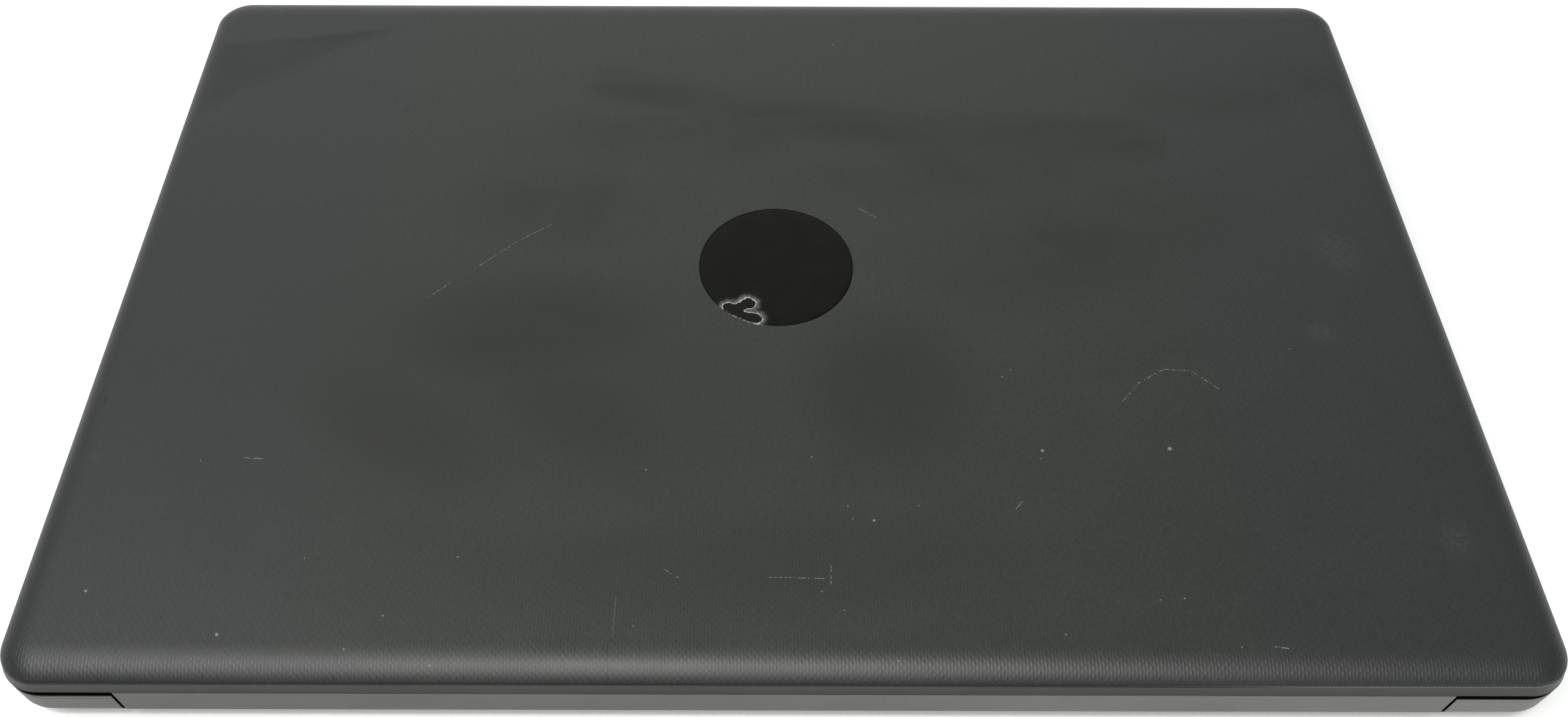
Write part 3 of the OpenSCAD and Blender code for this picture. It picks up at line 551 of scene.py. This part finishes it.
M["circuit_board"] = moulded("circuit_board", (0.010, 0.075, 0.035), rough=0.35, var=0.25, grain=700, depth=0.00001)
M["wireless_board"] = moulded("wireless_board", (0.008, 0.06, 0.09), rough=0.35, var=0.25, grain=700, depth=0.00001)
M["chip_black"] = moulded("chip_black", (0.014, 0.014, 0.015), rough=0.4, var=0.25)
M["battery_wrap"] = moulded("battery_wrap", (0.012, 0.012, 0.013), rough=0.25, var=0.2, grain=600, depth=0.00002)
M["cable_tape"] = moulded("cable_tape", (0.012, 0.012, 0.013), rough=0.35, var=0.2)
M["steel"] = metal("steel", (0.50, 0.51, 0.52), rough=0.34)
M["sheet_metal"] = metal("sheet_metal", (0.56, 0.57, 0.58), rough=0.3)


def socket_metal():
    """Tinned shells. The tongues inside, found by their height, are black plastic with a row of gold contacts."""
    g = G("socket_metal")
    co = g.obj()
    s = g.sep(co)
    grain = g.noise(g.scaled(co, (1, 60, 1)), 900, 4, 0.65)
    ax = g.math("ABSOLUTE", (s, 0))
    z = (s, 2)
    # inside the mouth, away from the shell walls
    deep = g.math("LESS_THAN", ax, 0.18655)
    low = g.math("GREATER_THAN", z, 0.00815)
    high = g.math("LESS_THAN", z, 0.01155)

    def near(y, half):
        return g.math("LESS_THAN", g.math("ABSOLUTE", g.math("SUBTRACT", (s, 1), y)), half)

    mouths = near(-0.021, 0.0060)
    for y, half in ((-0.039, 0.0060), (-0.056, 0.0060)):
        mouths = g.math("MAXIMUM", mouths, near(y, half))
    usb = g.math("MULTIPLY", mouths, g.math("MULTIPLY", low, high))
    hd = g.math("MULTIPLY", near(-0.002, 0.0058), g.math("MULTIPLY", g.math("GREATER_THAN", z, 0.0080), g.math("LESS_THAN", z, 0.0095)))
    tongue = g.math("MULTIPLY", g.math("MAXIMUM", usb, hd), deep)
    # four contacts, centred in each mouth
    mid = g.math("ADD", g.math("MULTIPLY", near(-0.039, 0.0065), -0.039), g.math("ADD", g.math("MULTIPLY", near(-0.021, 0.0065), -0.021), g.math("MULTIPLY", near(-0.056, 0.0065), -0.056)))
    off = g.math("SUBTRACT", (s, 1), mid)
    stripe = g.math("GREATER_THAN", g.math("COSINE", g.math("MULTIPLY", g.math("ADD", off, 0.00125), 2 * math.pi / 0.0025)), 0.45)
    under = g.math("LESS_THAN", z, 0.0100)
    gold = g.math("MULTIPLY", g.math("MULTIPLY", tongue, stripe), g.math("MULTIPLY", usb, under))
    shell = g.mix(grain, rgb(0.52, 0.52, 0.53), rgb(0.68, 0.68, 0.69))
    base = g.mix(tongue, shell, rgb(0.012, 0.012, 0.013))
    base = g.mix(gold, base, rgb(0.86, 0.62, 0.28))
    g.put(g.b, "Base Color", base)
    g.put(g.b, "Metallic", g.math("MAXIMUM", g.math("SUBTRACT", 1.0, tongue), gold))
    g.put(g.b, "Roughness", g.math("ADD", g.ramp(grain, 0.3, 0.7, 0.16, 0.32), g.math("MULTIPLY", tongue, 0.2)))
    g.put(g.b, "Normal", g.bump(grain, 0.000002, 1.0, g.bevel(0.0001)))
    return g.m


M["socket_metal"] = socket_metal()
M["fin_metal"] = metal("fin_metal", (0.78, 0.79, 0.80), rough=0.3)
M["drive_metal"] = metal("drive_metal", (0.60, 0.61, 0.63), rough=0.42, dirn=(1, 1, 1), scale=2400)
M["spindle_metal"] = metal("spindle_metal", (0.75, 0.76, 0.77), rough=0.2)
M["copper"] = metal("copper", (0.80, 0.42, 0.27), rough=0.3)
M["gold"] = metal("gold", (0.90, 0.67, 0.30), rough=0.22)


def badge_gloss():
    g = G("badge_gloss")
    co = g.obj()
    flaw = g.noise(co, 140, 4, 0.6)
    p = g.scaled(co, (1000, 1000, 0))
    # a flake of the coat has come off near the rim: bare and dark inside, a pale lifted edge fading outwards
    wob = g.math("MULTIPLY", g.math("SUBTRACT", g.noise(p, 0.75, 2, 0.5), 0.5), 1.6)
    away = None
    for line in ((( 14.3, 11.4), (9.8, 14.5), 1.65), ((12.2, 11.2), (10.4, 11.0), 1.35), ((9.1, 9.7), (8.4, 9.9), 1.7), ((10.5, 14.5), (6.7, 15.3), 1.75)):
        d = reach(g, p, *line)
        away = d if away is None else g.math("MINIMUM", away, d)
    away = g.math("ADD", away, wob)
    inside = g.ramp(away, -0.05, 0.05, 1.0, 0.0)
    line = g.math("MULTIPLY", g.ramp(away, 0.05, 0.56, 0.85, 0.0), g.ramp(g.noise(p, 0.6, 2, 0.6), 0.3, 0.55, 0.6, 1.0))
    glow = g.math("MULTIPLY", g.math("POWER", g.ramp(away, 0.0, 2.6, 1.0, 0.0), 1.8), 0.24)
    rim = g.math("MULTIPLY", g.math("MAXIMUM", line, glow), g.math("SUBTRACT", 1.0, inside))
    out = (g.vmath("DISTANCE", p, (0.7, -4.0, 0.0)), 1)
    lip = g.math("MULTIPLY", g.math("MULTIPLY", g.ramp(out, 21.5, 21.75), inside), g.ramp(g.noise(p, 1.1, 3, 0.6), 0.45, 0.58))
    rim = g.math("MAXIMUM", rim, g.math("MULTIPLY", lip, 0.32))
    base = g.mix(g.ramp(flaw, 0.3, 0.7), rgb(0.0016, 0.0020, 0.0014), rgb(0.0030, 0.0034, 0.0027))
    base = g.mix(inside, base, rgb(0.0046, 0.0046, 0.0040))
    base = g.mix(g.math("MULTIPLY", rim, 0.95), base, rgb(0.46, 0.46, 0.44))
    g.put(g.b, "Base Color", base)
    g.put(g.b, "Roughness", g.math("ADD", g.ramp(flaw, 0.3, 0.7, 0.32, 0.40), g.math("MULTIPLY", g.math("MAXIMUM", inside, rim), 0.2)))
    g.b.inputs["Specular IOR Level"].default_value = 0.13
    grain = g.noise(co, 2600, 2, 0.5)
    h = g.math("ADD", g.math("MULTIPLY", grain, 0.03), g.math("ADD", g.math("MULTIPLY", rim, 0.8), g.math("MULTIPLY", inside, -0.5)))
    g.put(g.b, "Normal", g.bump(h, 0.00008, 1.0))
    return g.m


M["badge_gloss"] = badge_gloss()


def screen_film():
    """Screen panel, switched off: dark matt film over fine cell rows, with a little dust."""
    g = G("screen_film")
    co = g.obj()
    cells = g.noise(g.scaled(co, (1, 1, 1)), 5200, 1, 0.5)
    dust = g.ramp(g.voronoi(g.scaled(co, (1000, 1000, 0)), 0.16), 0.0, 0.03, 1.0, 0.0)
    smear = g.noise(co, 16, 4, 0.6)
    base = g.mix(g.ramp(smear, 0.3, 0.7), rgb(0.0070, 0.0076, 0.0090), rgb(0.0105, 0.0112, 0.0125))
    base = g.mix(g.math("MULTIPLY", dust, 0.4), base, rgb(0.25, 0.25, 0.25))
    g.put(g.b, "Base Color", base)
    g.put(g.b, "Roughness", g.ramp(smear, 0.3, 0.7, 0.17, 0.26))
    g.put(g.b, "Normal", g.bump(cells, 0.000002, 1.0))
    return g.m


M["screen"] = screen_film()


def lens():
    g = G("lens_glass")
    co = g.obj()
    n = g.noise(co, 400, 2)
    g.put(g.b, "Base Color", g.mix(n, rgb(0.004, 0.004, 0.007), rgb(0.012, 0.010, 0.020)))
    g.put(g.b, "Roughness", g.ramp(n, 0.3, 0.7, 0.03, 0.08))
    g.b.inputs["Coat Weight"].default_value = 1.0
    return g.m


M["lens_glass"] = lens()


def milky():
    g = G("light_pipe")
    co = g.obj()
    n = g.noise(co, 900, 2)
    g.put(g.b, "Base Color", g.mix(n, rgb(0.62, 0.64, 0.66), rgb(0.78, 0.80, 0.82)))
    g.put(g.b, "Roughness", g.ramp(n, 0.3, 0.7, 0.2, 0.32))
    g.b.inputs["Subsurface Weight"].default_value = 0.3
    g.b.inputs["Subsurface Scale"].default_value = 0.001
    return g.m


M["light_pipe"] = milky()


# ------------------------------------------------------------------ lid shell, with its relief co-ordinates
def lid_shell():
    bm = bmesh.new()
    pat = []
    BX, BY, BR = 0.7, -4.0, 22.15
    top = plan_ring(10.6)

    def ring(pts, z, co):
        vs = []
        for q, c in zip(pts, co):
            vs.append(bm.verts.new(mm(q[0], q[1], z)))
            pat.append(c)
        return vs

    base_xy = [(q[0], q[1]) for q in top]
    # badge recess
    rings = []
    c_floor = circle_like(top, BX, BY, BR)
    centre = bm.verts.new(mm(BX, BY, 21.95))
    pat.append((BX, BY))
    fl = ring(c_floor, 21.95, c_floor)
    n = len(fl)
    for i in range(n):
        bm.faces.new((centre, fl[i], fl[(i + 1) % n])).material_index = 2
    wall = ring(c_floor, 22.40, c_floor)
    bridge(bm, fl, wall, 2)
    c_edge = circle_like(top, BX, BY, BR + 0.03)
    e1 = ring(c_edge, 22.46, c_edge)
    bridge(bm, wall, e1, 0)
    c_edge = circle_like(top, BX, BY, BR + 0.1)
    e2 = ring(c_edge, 22.5, c_edge)
    bridge(bm, e1, e2, 0)
    c_edge = circle_like(top, BX, BY, BR + 0.45)
    e3 = ring(c_edge, 22.5, c_edge)
    bridge(bm, e2, e3, 0)
    prev = e3
    # flat back: a few rings keep the quads even
    for t in (0.25, 0.5, 0.75):
        pts = [(a[0] + (b[0] - a[0]) * t, a[1] + (b[1] - a[1]) * t) for a, b in zip(c_edge, base_xy)]
        cur = ring(pts, 22.5, pts)
        bridge(bm, prev, cur, 0)
        prev = cur
    # rolled edge
    # tilt grows slowly from the flat and quickly towards the crease
    length, tilt, steps = 10.068, 0.7659, 30
    prof = [(10.6, 22.5)]
    for k in range(steps):
        a0 = tilt * ((k + 0.5) / steps) ** 1.5
        prof.append((prof[-1][0] - math.cos(a0) * length / steps, prof[-1][1] - math.sin(a0) * length / steps))
    prof += [(1.08, 19.36), (0.97, 19.18), (0.93, 19.08)]
    s = 0.0
    last = prof[0]
    for k, (o, z) in enumerate(prof):
        s += math.hypot(o - last[0], z - last[1])
        last = (o, z)
        pts = plan_ring(o)
        cur = ring(pts, z, [(b[0] + q[2] * s, b[1] + q[3] * s) for b, q in zip(base_xy, top)])
        bridge(bm, prev, cur, 0)
        prev = cur
    # crease, smooth band, lower rim, inner wall, cavity
    rest = [(1.02, 19.0, 1), (1.6, 18.96, 1), (1.6, 18.82, 1), (1.0, 18.79, 1), (0.88, 18.76, 1), (0.85, 18.70, 1), (0.83, 18.6, 1), (0.62, 17.7, 1), (0.35, 16.8, 1), (0.17, 16.3, 1), (0.08, 16.1, 1), (0.12, 16.03, 1), (0.22, 16.0, 1),
            (1.55, 16.0, 2), (1.65, 16.05, 2), (1.7, 16.15, 2), (1.7, 18.6, 2), (7.2, 18.6, 2), (7.2, 20.9, 2)]
    for o, z, m in rest:
        s += math.hypot(o - last[0], z - last[1])
        last = (o, z)
        pts = plan_ring(o)
        cur = ring(pts, z, [(b[0] + q[2] * s, b[1] + q[3] * s) for b, q in zip(base_xy, top)])
        bridge(bm, prev, cur, m)
        prev = cur
    # ceiling of the cavity
    pts = plan_ring(40)
    cur = ring(pts, 20.9, [(q[0], q[1]) for q in pts])
    bridge(bm, prev, cur, 2)
    c = bm.verts.new(mm(0, 0, 20.9))
    pat.append((0, 0))
    for i in range(n):
        bm.faces.new((c, cur[(i + 1) % n], cur[i])).material_index = 2
    bmesh.ops.recalc_face_normals(bm, faces=bm.faces)
    ob = new_object("lid_shell", bm, [M["lid_film"], M["lid_band"], M["lid_inner"]], 32)
    at = ob.data.attributes.new("pat", "FLOAT_VECTOR", "POINT")
    at.data.foreach_set("vector", [x for c in pat for x in (c[0], c[1], 0.0)])
    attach(ob, "lid")
    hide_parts("lid_cover")
    return ob


lid_shell()


# ------------------------------------------------------------------ round inlay: low dome with a soft edge
def badge():
    bm = bmesh.new()
    n = 160
    prof = [(0, 22.42), (4, 22.419), (8, 22.416), (12, 22.41), (16, 22.40), (19.0, 22.385), (20.4, 22.375), (21.2, 22.365), (21.7, 22.33), (21.93, 22.26), (22.0, 22.15), (22.0, 21.97), (0, 21.97)]
    prev = None
    first = bm.verts.new(mm(0.7, -4, prof[0][1]))
    for r, z in prof[1:-1]:
        cur = [bm.verts.new(mm(0.7 + r * math.cos(2 * math.pi * i / n), -4 + r * math.sin(2 * math.pi * i / n), z)) for i in range(n)]
        for i in range(n):
            if prev is None:
                bm.faces.new((first, cur[i], cur[(i + 1) % n]))
            else:
                bm.faces.new((prev[i], cur[i], cur[(i + 1) % n], prev[(i + 1) % n]))
        prev = cur
    bm.faces.new(list(reversed(prev)))
    bmesh.ops.recalc_face_normals(bm, faces=bm.faces)
    ob = new_object("badge_disc", bm, [M["badge_gloss"]], 45)
    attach(ob, "lid")
    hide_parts("lid_badge")


badge()

# ------------------------------------------------------------------ key caps with printed legends
KX0, KY1, FN_H, PU, PY, GAP = -170.5, 87.5, 12.5, 18.0, 18.0, 2.7
PX0, PP = 102.5, 17.0


def row_y(k):
    return KY1 - FN_H / 2 if k == 0 else KY1 - FN_H - (k - 0.5) * PY


def key_line(widths, k, x0=0.0):
    out, at = [], x0
    for w in widths:
        out.append((KX0 + PU * (at + w / 2), row_y(k), PU * w - GAP, (FN_H if k == 0 else PY) - GAP))
        at += w
    return out


def pad_key(c, k, w=1, h=1):
    y = row_y(0) if k == 0 else row_y(k) - (h - 1) * PY / 2
    return (PX0 + PP * (c + w / 2), y, PP * w - GAP, (FN_H if k == 0 else PY * h) - GAP)


def cap_ring(bm, cx, cy, w, d, r, z, n=6):
    vs = []
    hx, hy = w / 2 - r, d / 2 - r
    for k, (sx, sy) in enumerate(((1, 1), (-1, 1), (-1, -1), (1, -1))):
        for i in range(n + 1):
            a = math.pi / 2 * (k + i / n)
            vs.append(bm.verts.new(mm(cx + sx * hx + r * math.cos(a), cy + sy * hy + r * math.sin(a), z)))
    return vs


def cap(bm, cx, cy, w, d, lift=0.0):
    """One key cap: slightly drafted sides, a rolled shoulder and a shallow hollow on top."""
    prof = ((0.10, 13.8, 1.1), (0.0, 13.9, 1.2), (0.02, 14.5, 1.2), (0.10, 14.86, 1.2), (0.20, 15.04, 1.18), (0.36, 15.15, 1.12), (0.58, 15.195, 1.05), (0.85, 15.2, 1.0), (1.7, 15.188, 0.9), (2.9, 15.176, 0.7))
    prev = None
    for o, z, r in prof:
        cur = cap_ring(bm, cx, cy, w - 2 * o, d - 2 * o, r, z)
        if prev is None:
            bm.faces.new(list(reversed(cur)))
        else:
            n = len(cur)
            for i in range(n):
                bm.faces.new((prev[i], prev[(i + 1) % n], cur[(i + 1) % n], cur[i]))
        prev = cur
    bm.faces.new(prev)


def glyphs(bm, text, x, y, size, align="LEFT"):
    """Thin raised print made from the built-in font, added to bm; x, y and size in millimetres."""
    cu = bpy.data.curves.new("print", "FONT")
    cu.body = text
    cu.size = size / 1000
    cu.extrude = 0.00002
    cu.resolution_u = 3
    cu.align_x = align
    ob = bpy.data.objects.new("print", cu)
    me = bpy.data.meshes.new_from_object(ob)
    me.transform(Matrix.Translation(mm(x, y, 15.187)))
    bm.from_mesh(me)
    bpy.data.meshes.remove(me)
    bpy.data.objects.remove(ob)
    bpy.data.curves.remove(cu)


def prism(bm, pts, z0=15.160, z1=15.207):
    """Closed thin plate over an outline in millimetres."""
    lo = [bm.verts.new(mm(x, y, z0)) for x, y in pts]
    hi = [bm.verts.new(mm(x, y, z1)) for x, y in pts]
    n = len(pts)
    bm.faces.new(list(reversed(lo)))
    bm.faces.new(hi)
    for i in range(n):
        bm.faces.new((lo[i], lo[(i + 1) % n], hi[(i + 1) % n], hi[i]))


def ring_plate(bm, x, y, r0, r1, a0=0.0, a1=2 * math.pi, z0=15.160, z1=15.207, n=32):
    """Closed thin ring or arc."""
    full = abs(a1 - a0 - 2 * math.pi) < 1e-6
    cols = []
    for i in range(n if full else n + 1):
        a = a0 + (a1 - a0) * i / n
        c, q = math.cos(a), math.sin(a)
        cols.append([bm.verts.new(mm(x + r * c, y + r * q, z)) for r, z in ((r0, z0), (r1, z0), (r1, z1), (r0, z1))])
    m = len(cols)
    for i in range(m if full else m - 1):
        a, b = cols[i], cols[(i + 1) % m]
        for j in range(4):
            bm.faces.new((a[j], a[(j + 1) % 4], b[(j + 1) % 4], b[j]))
    if not full:
        bm.faces.new(list(reversed(cols[0])))
        bm.faces.new(cols[-1])


def legend(bm, key, t):
    cx, cy, w, d = key
    if t is None:
        return
    if isinstance(t, tuple):
        up, low = t
        glyphs(bm, up, cx - w / 2 + 2.3, cy + 2.2, 3.6)
        glyphs(bm, low, cx - w / 2 + 2.3, cy - 4.6, 3.9)
    elif t in ("left", "right", "up", "down"):
        q = {"left": math.pi, "right": 0.0, "up": math.pi / 2, "down": -math.pi / 2}[t]
        pts = [(cx + 1.25 * math.cos(q + a), cy + 1.25 * math.sin(q + a)) for a in (0, 2 * math.pi / 3, 4 * math.pi / 3)]
        prism(bm, pts)
    elif t == "ring":
        ring_plate(bm, cx - w / 2 + 3.9, cy + 2.6, 1.35, 1.7)
    elif t == "back":
        x, y = cx + w / 2 - 7.0, cy + 2.6
        prism(bm, [(x, y), (x + 1.5, y + 1.1), (x + 1.5, y + 0.25), (x + 4.4, y + 0.25), (x + 4.4, y - 0.25), (x + 1.5, y - 0.25), (x + 1.5, y - 1.1)])
    elif t == "shift":
        x, y = cx - w / 2 + 3.6, cy + 2.7
        prism(bm, [(x, y + 1.7), (x - 1.6, y - 0.1), (x - 0.7, y - 0.1), (x - 0.7, y - 1.6), (x + 0.7, y - 1.6), (x + 0.7, y - 0.1), (x + 1.6, y - 0.1)])
    elif t == "return":
        x, y = cx + w / 2 - 7.0, cy + 2.2
        prism(bm, [(x, y), (x + 1.4, y + 1.1), (x + 1.4, y + 0.25), (x + 3.9, y + 0.25), (x + 3.9, y + 1.9), (x + 4.4, y + 1.9), (x + 4.4, y - 0.25), (x + 1.4, y - 0.25), (x + 1.4, y - 1.1)])
    elif len(t) == 1 and (t.isalpha() and t.isupper()):
        glyphs(bm, t, cx - w / 2 + 2.3, cy + 1.5, 4.7)
    elif len(t) == 1:
        glyphs(bm, t, cx - w / 2 + 2.4, cy + 1.2, 4.4)
    elif d < 11:
        glyphs(bm, t, cx - w / 2 + 1.6, cy - 0.9, 2.9)
    else:
        glyphs(bm, t, cx - w / 2 + 1.9, cy + 2.6, 3.0)


KEYS = {
    "function_row_keys": (key_line([1] * 15, 0) + [pad_key(c, 0) for c in range(4)], ["esc"] + ["f%d" % i for i in range(1, 13)] + ["ins", "del", "home", "end", "pg up", "pg dn"]),
    "number_row_keys": (key_line([1] * 13 + [2], 1), [("~", "`"), ("!", "1"), ("@", "2"), ("#", "3"), ("$", "4"), ("%", "5"), ("^", "6"), ("&", "7"), ("*", "8"), ("(", "9"), (")", "0"), ("_", "-"), ("+", "="), "back"]),
    "upper_row_keys": (key_line([1.5] + [1] * 12 + [1.5], 2), ["tab"] + list("QWERTYUIOP") + [("{", "["), ("}", "]"), ("|", "\\")]),
    "home_row_keys": (key_line([1.75] + [1] * 11, 3), ["caps"] + list("ASDFGHJKL") + [(":", ";"), ('"', "'")]),
    "enter_key": (key_line([2.25], 3, 12.75), ["return"]),
    "lower_row_keys": (key_line([2.25] + [1] * 10 + [2.75], 4), ["shift"] + list("ZXCVBNM") + [("<", ","), (">", "."), ("?", "/"), "shift"]),
    "bottom_row_keys": (key_line([1.25, 1, 1, 1], 5) + key_line([1, 1.25], 5, 9.75) + [
        (KX0 + PU * 12.5, row_y(5), PU - GAP, PY - GAP), (KX0 + PU * 13.5, row_y(5) + PY / 4, PU - GAP, 7.8),
        (KX0 + PU * 13.5, row_y(5) - PY / 4, PU - GAP, 7.8), (KX0 + PU * 14.5, row_y(5), PU - GAP, PY - GAP)], ["ctrl", "fn", "ring", "alt", "alt", "ctrl", "left", "up", "down", "right"]),
    "space_bar": ([(KX0 + PU * 7, row_y(5), PU * 5.5 - GAP, PY - GAP)], [None]),
    "number_pad_keys": ([pad_key(c, 1) for c in range(4)] + [pad_key(c, 2) for c in range(3)] + [pad_key(3, 2, 1, 2)] + [pad_key(c, 3) for c in range(3)] + [pad_key(c, 4) for c in range(3)] + [pad_key(3, 4, 1, 2), pad_key(0, 5, 2, 1), pad_key(2, 5)],
                        ["num", "/", "*", "-", "7", "8", "9", "+", "4", "5", "6", "1", "2", "3", "enter", "0", "."]),
}
for name, (caps, marks) in KEYS.items():
    bm = bmesh.new()
    for k in caps:
        cap(bm, *k)
    ob = new_object(name.replace("_keys", "_caps").replace("space_bar", "space_cap").replace("enter_key", "enter_cap"), bm, [M["key_plastic"]], 40)
    body = name + "_body"
    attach(ob, body)
    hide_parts(name)
    if marks != [None]:
        bm = bmesh.new()
        for k, t in zip(caps, marks):
            legend(bm, k, t)
        ob = new_object(name.replace("_keys", "").replace("_key", "") + "_print", bm, [M["legend"]], 30)
        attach(ob, body)

# ------------------------------------------------------------------ small fittings
bm = bmesh.new()
ring_plate(bm, -150.9, 99.5, 1.25, 1.6, math.radians(125), math.radians(415), 15.05, 15.115, 28)
prism(bm, [(-151.08, 99.7), (-150.72, 99.7), (-150.72, 101.3), (-151.08, 101.3)], 15.05, 15.115)
ob = new_object("power_mark", bm, [M["legend"]], 30)
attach(ob, "power_button_body")


bm = bmesh.new()
for i in range(8):
    y = 22 + (i - 3.5) * 1.02
    # each wire slopes down into the mouth from its roof
    top, tip = (-176.0, 10.9), (-183.6, 8.6)
    a = [bm.verts.new(mm(top[0], y + q * 0.2, top[1] + h)) for q, h in ((-1, -0.15), (1, -0.15), (1, 0.15), (-1, 0.15))]
    b = [bm.verts.new(mm(tip[0], y + q * 0.2, tip[1] + h)) for q, h in ((-1, -0.12), (1, -0.12), (1, 0.12), (-1, 0.12))]
    bm.faces.new(list(reversed(a)))
    bm.faces.new(b)
    for j in range(4):
        bm.faces.new((a[j], a[(j + 1) % 4], b[(j + 1) % 4], b[j]))
bmesh.ops.recalc_face_normals(bm, faces=bm.faces)
ob = new_object("network_contacts", bm, [M["gold"]], 30)
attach(ob, "base")

# ------------------------------------------------------------------ CAD pieces: finish
FINISH = {
    "bottom_cover": "case_plastic", "palmrest_cover": "deck_plastic", "tray_bezel": "case_plastic", "keyboard_plate": "web_black", "rubber_feet": "rubber", "lid_bumpers": "rubber",
    "bottom_screws": "steel", "system_board": "circuit_board", "board_chips": "chip_black", "heat_pipe": "copper", "heatsink_fins": "fin_metal", "fan_housing": "black_plastic", "fan_rotor": "black_plastic",
    "battery_pack": "battery_wrap", "hard_drive": "drive_metal", "drive_bracket": "steel", "memory_module": "circuit_board", "wireless_card": "wireless_board", "speaker_left": "black_plastic", "speaker_right": "black_plastic",
    "touchpad_plate": "pad_plastic", "touchpad_button_left": "button_plastic", "touchpad_button_right": "button_plastic", "power_button": "button_plastic", "optical_drive_case": "sheet_metal", "optical_tray": "black_plastic",
    "disc_spindle": "spindle_metal", "laser_sled": "black_plastic", "eject_button": "button_plastic", "usb_sockets": "socket_metal", "hdmi_socket": "socket_metal", "network_socket": "black_plastic", "audio_socket": "black_plastic",
    "power_socket": "black_plastic", "card_reader": "sheet_metal", "io_board": "circuit_board", "hinge_bracket_left": "steel", "hinge_bracket_right": "steel", "clock_battery": "fin_metal", "status_lights": "light_pipe",
    "display_bezel": "frame_black", "lcd_panel": "screen", "hinge_cap": "hinge_grey", "hinge_arm_left": "steel", "hinge_arm_right": "steel", "webcam_board": "circuit_board", "webcam_lens": "lens_glass",
    "antennas": "gold", "display_cable": "cable_tape",
    "function_row_keys": "key_plastic", "number_row_keys": "key_plastic", "upper_row_keys": "key_plastic", "home_row_keys": "key_plastic", "lower_row_keys": "key_plastic", "bottom_row_keys": "key_plastic",
    "number_pad_keys": "key_plastic", "space_bar": "key_plastic", "enter_key": "key_plastic",
}
for name, mat in FINISH.items():
    ob = NODES[name]
    if not ob.material_slots:
        ob.data.materials.append(M[mat])
    for sl in ob.material_slots:
        sl.material = M[mat]

# ------------------------------------------------------------------ stage and light
bm = bmesh.new()
bmesh.ops.create_grid(bm, x_segments=1, y_segments=1, size=1.5)
gf = G("floor_paper")
fco = gf.obj()
fn = gf.noise(fco, 3.0, 3)
gf.put(gf.b, "Base Color", gf.mix(fn, rgb(0.86, 0.86, 0.86), rgb(0.90, 0.90, 0.90)))
gf.b.inputs["Roughness"].default_value = 0.9
floor = new_object("floor", bm, [gf.m])
floor.location = (0, 0, -0.00005)

world = bpy.data.worlds.new("studio")
scene.world = world
world.use_nodes = True
wt = world.node_tree
wt.nodes.clear()
wo = wt.nodes.new("ShaderNodeOutputWorld")
wb = wt.nodes.new("ShaderNodeBackground")
wc = wt.nodes.new("ShaderNodeTexCoord")
wd = wt.nodes.new("ShaderNodeVectorMath")
wd.operation = "DOT_PRODUCT"
wd.inputs[1].default_value = (0.12, -0.894, 0.432)
wm = wt.nodes.new("ShaderNodeMapRange")
for k, v in (("From Min", -1.0), ("From Max", 1.0), ("To Min", 0.0), ("To Max", 1.0)):
    wm.inputs[k].default_value = v
wr = wt.nodes.new("ShaderNodeValToRGB")
wr.color_ramp.interpolation = "EASE"
stops = ((-1.0, 0.08), (-0.20, 0.11), (0.15, 0.28), (0.55, 0.35), (0.78, 0.56), (0.97, 1.08))
while len(wr.color_ramp.elements) < len(stops):
    wr.color_ramp.elements.new(0.5)
for e, (d, v) in zip(wr.color_ramp.elements, stops):
    e.position = (d + 1) / 2
    e.color = (0.955 * v, 1.0 * v, 0.965 * v, 1)
wt.links.new(wc.outputs["Generated"], wd.inputs[0])
wt.links.new(wd.outputs["Value"], wm.inputs["Value"])
wt.links.new(wm.outputs[0], wr.inputs[0])
wt.links.new(wr.outputs[0], wb.inputs["Color"])
wb.inputs["Strength"].default_value = 1.0
lp = wt.nodes.new("ShaderNodeLightPath")
pale = wt.nodes.new("ShaderNodeBackground")
pale.inputs["Color"].default_value = (0.93, 0.93, 0.93, 1)
pick = wt.nodes.new("ShaderNodeMixShader")
wt.links.new(lp.outputs["Is Camera Ray"], pick.inputs[0])
wt.links.new(wb.outputs[0], pick.inputs[1])
wt.links.new(pale.outputs[0], pick.inputs[2])
wt.links.new(pick.outputs[0], wo.inputs[0])


def softbox(name, loc, target, sx, sy, power, col=(1, 1, 1)):
    ld = bpy.data.lights.new(name, "AREA")
    ld.shape = "RECTANGLE"
    ld.size, ld.size_y = sx, sy
    ld.energy = power
    ld.color = col
    lo = link(bpy.data.objects.new(name, ld))
    lo.location = loc
    lo.rotation_euler = (Vector(target) - Vector(loc)).to_track_quat("-Z", "Y").to_euler()
    return lo


softbox("overhead_mid", (0.09, 0.36, 1.2), (0.05, 0.118, 0.02), 0.46, 0.10, 5.5, (0.98, 1, 0.96))
softbox("overhead_left", (0.75, 0.10, 1.2), (0.10, 0.118, 0.02), 0.8, 0.36, 4.7, (0.98, 1, 0.97))
softbox("ceiling", (0.3, 1.2, 2.2), (0, 0, 0), 2.6, 1.2, 43)
softbox("rear_right", (-1.05, 1.04, 0.09), (-0.17, 0.12, 0.010), 0.45, 0.14, 2.4)
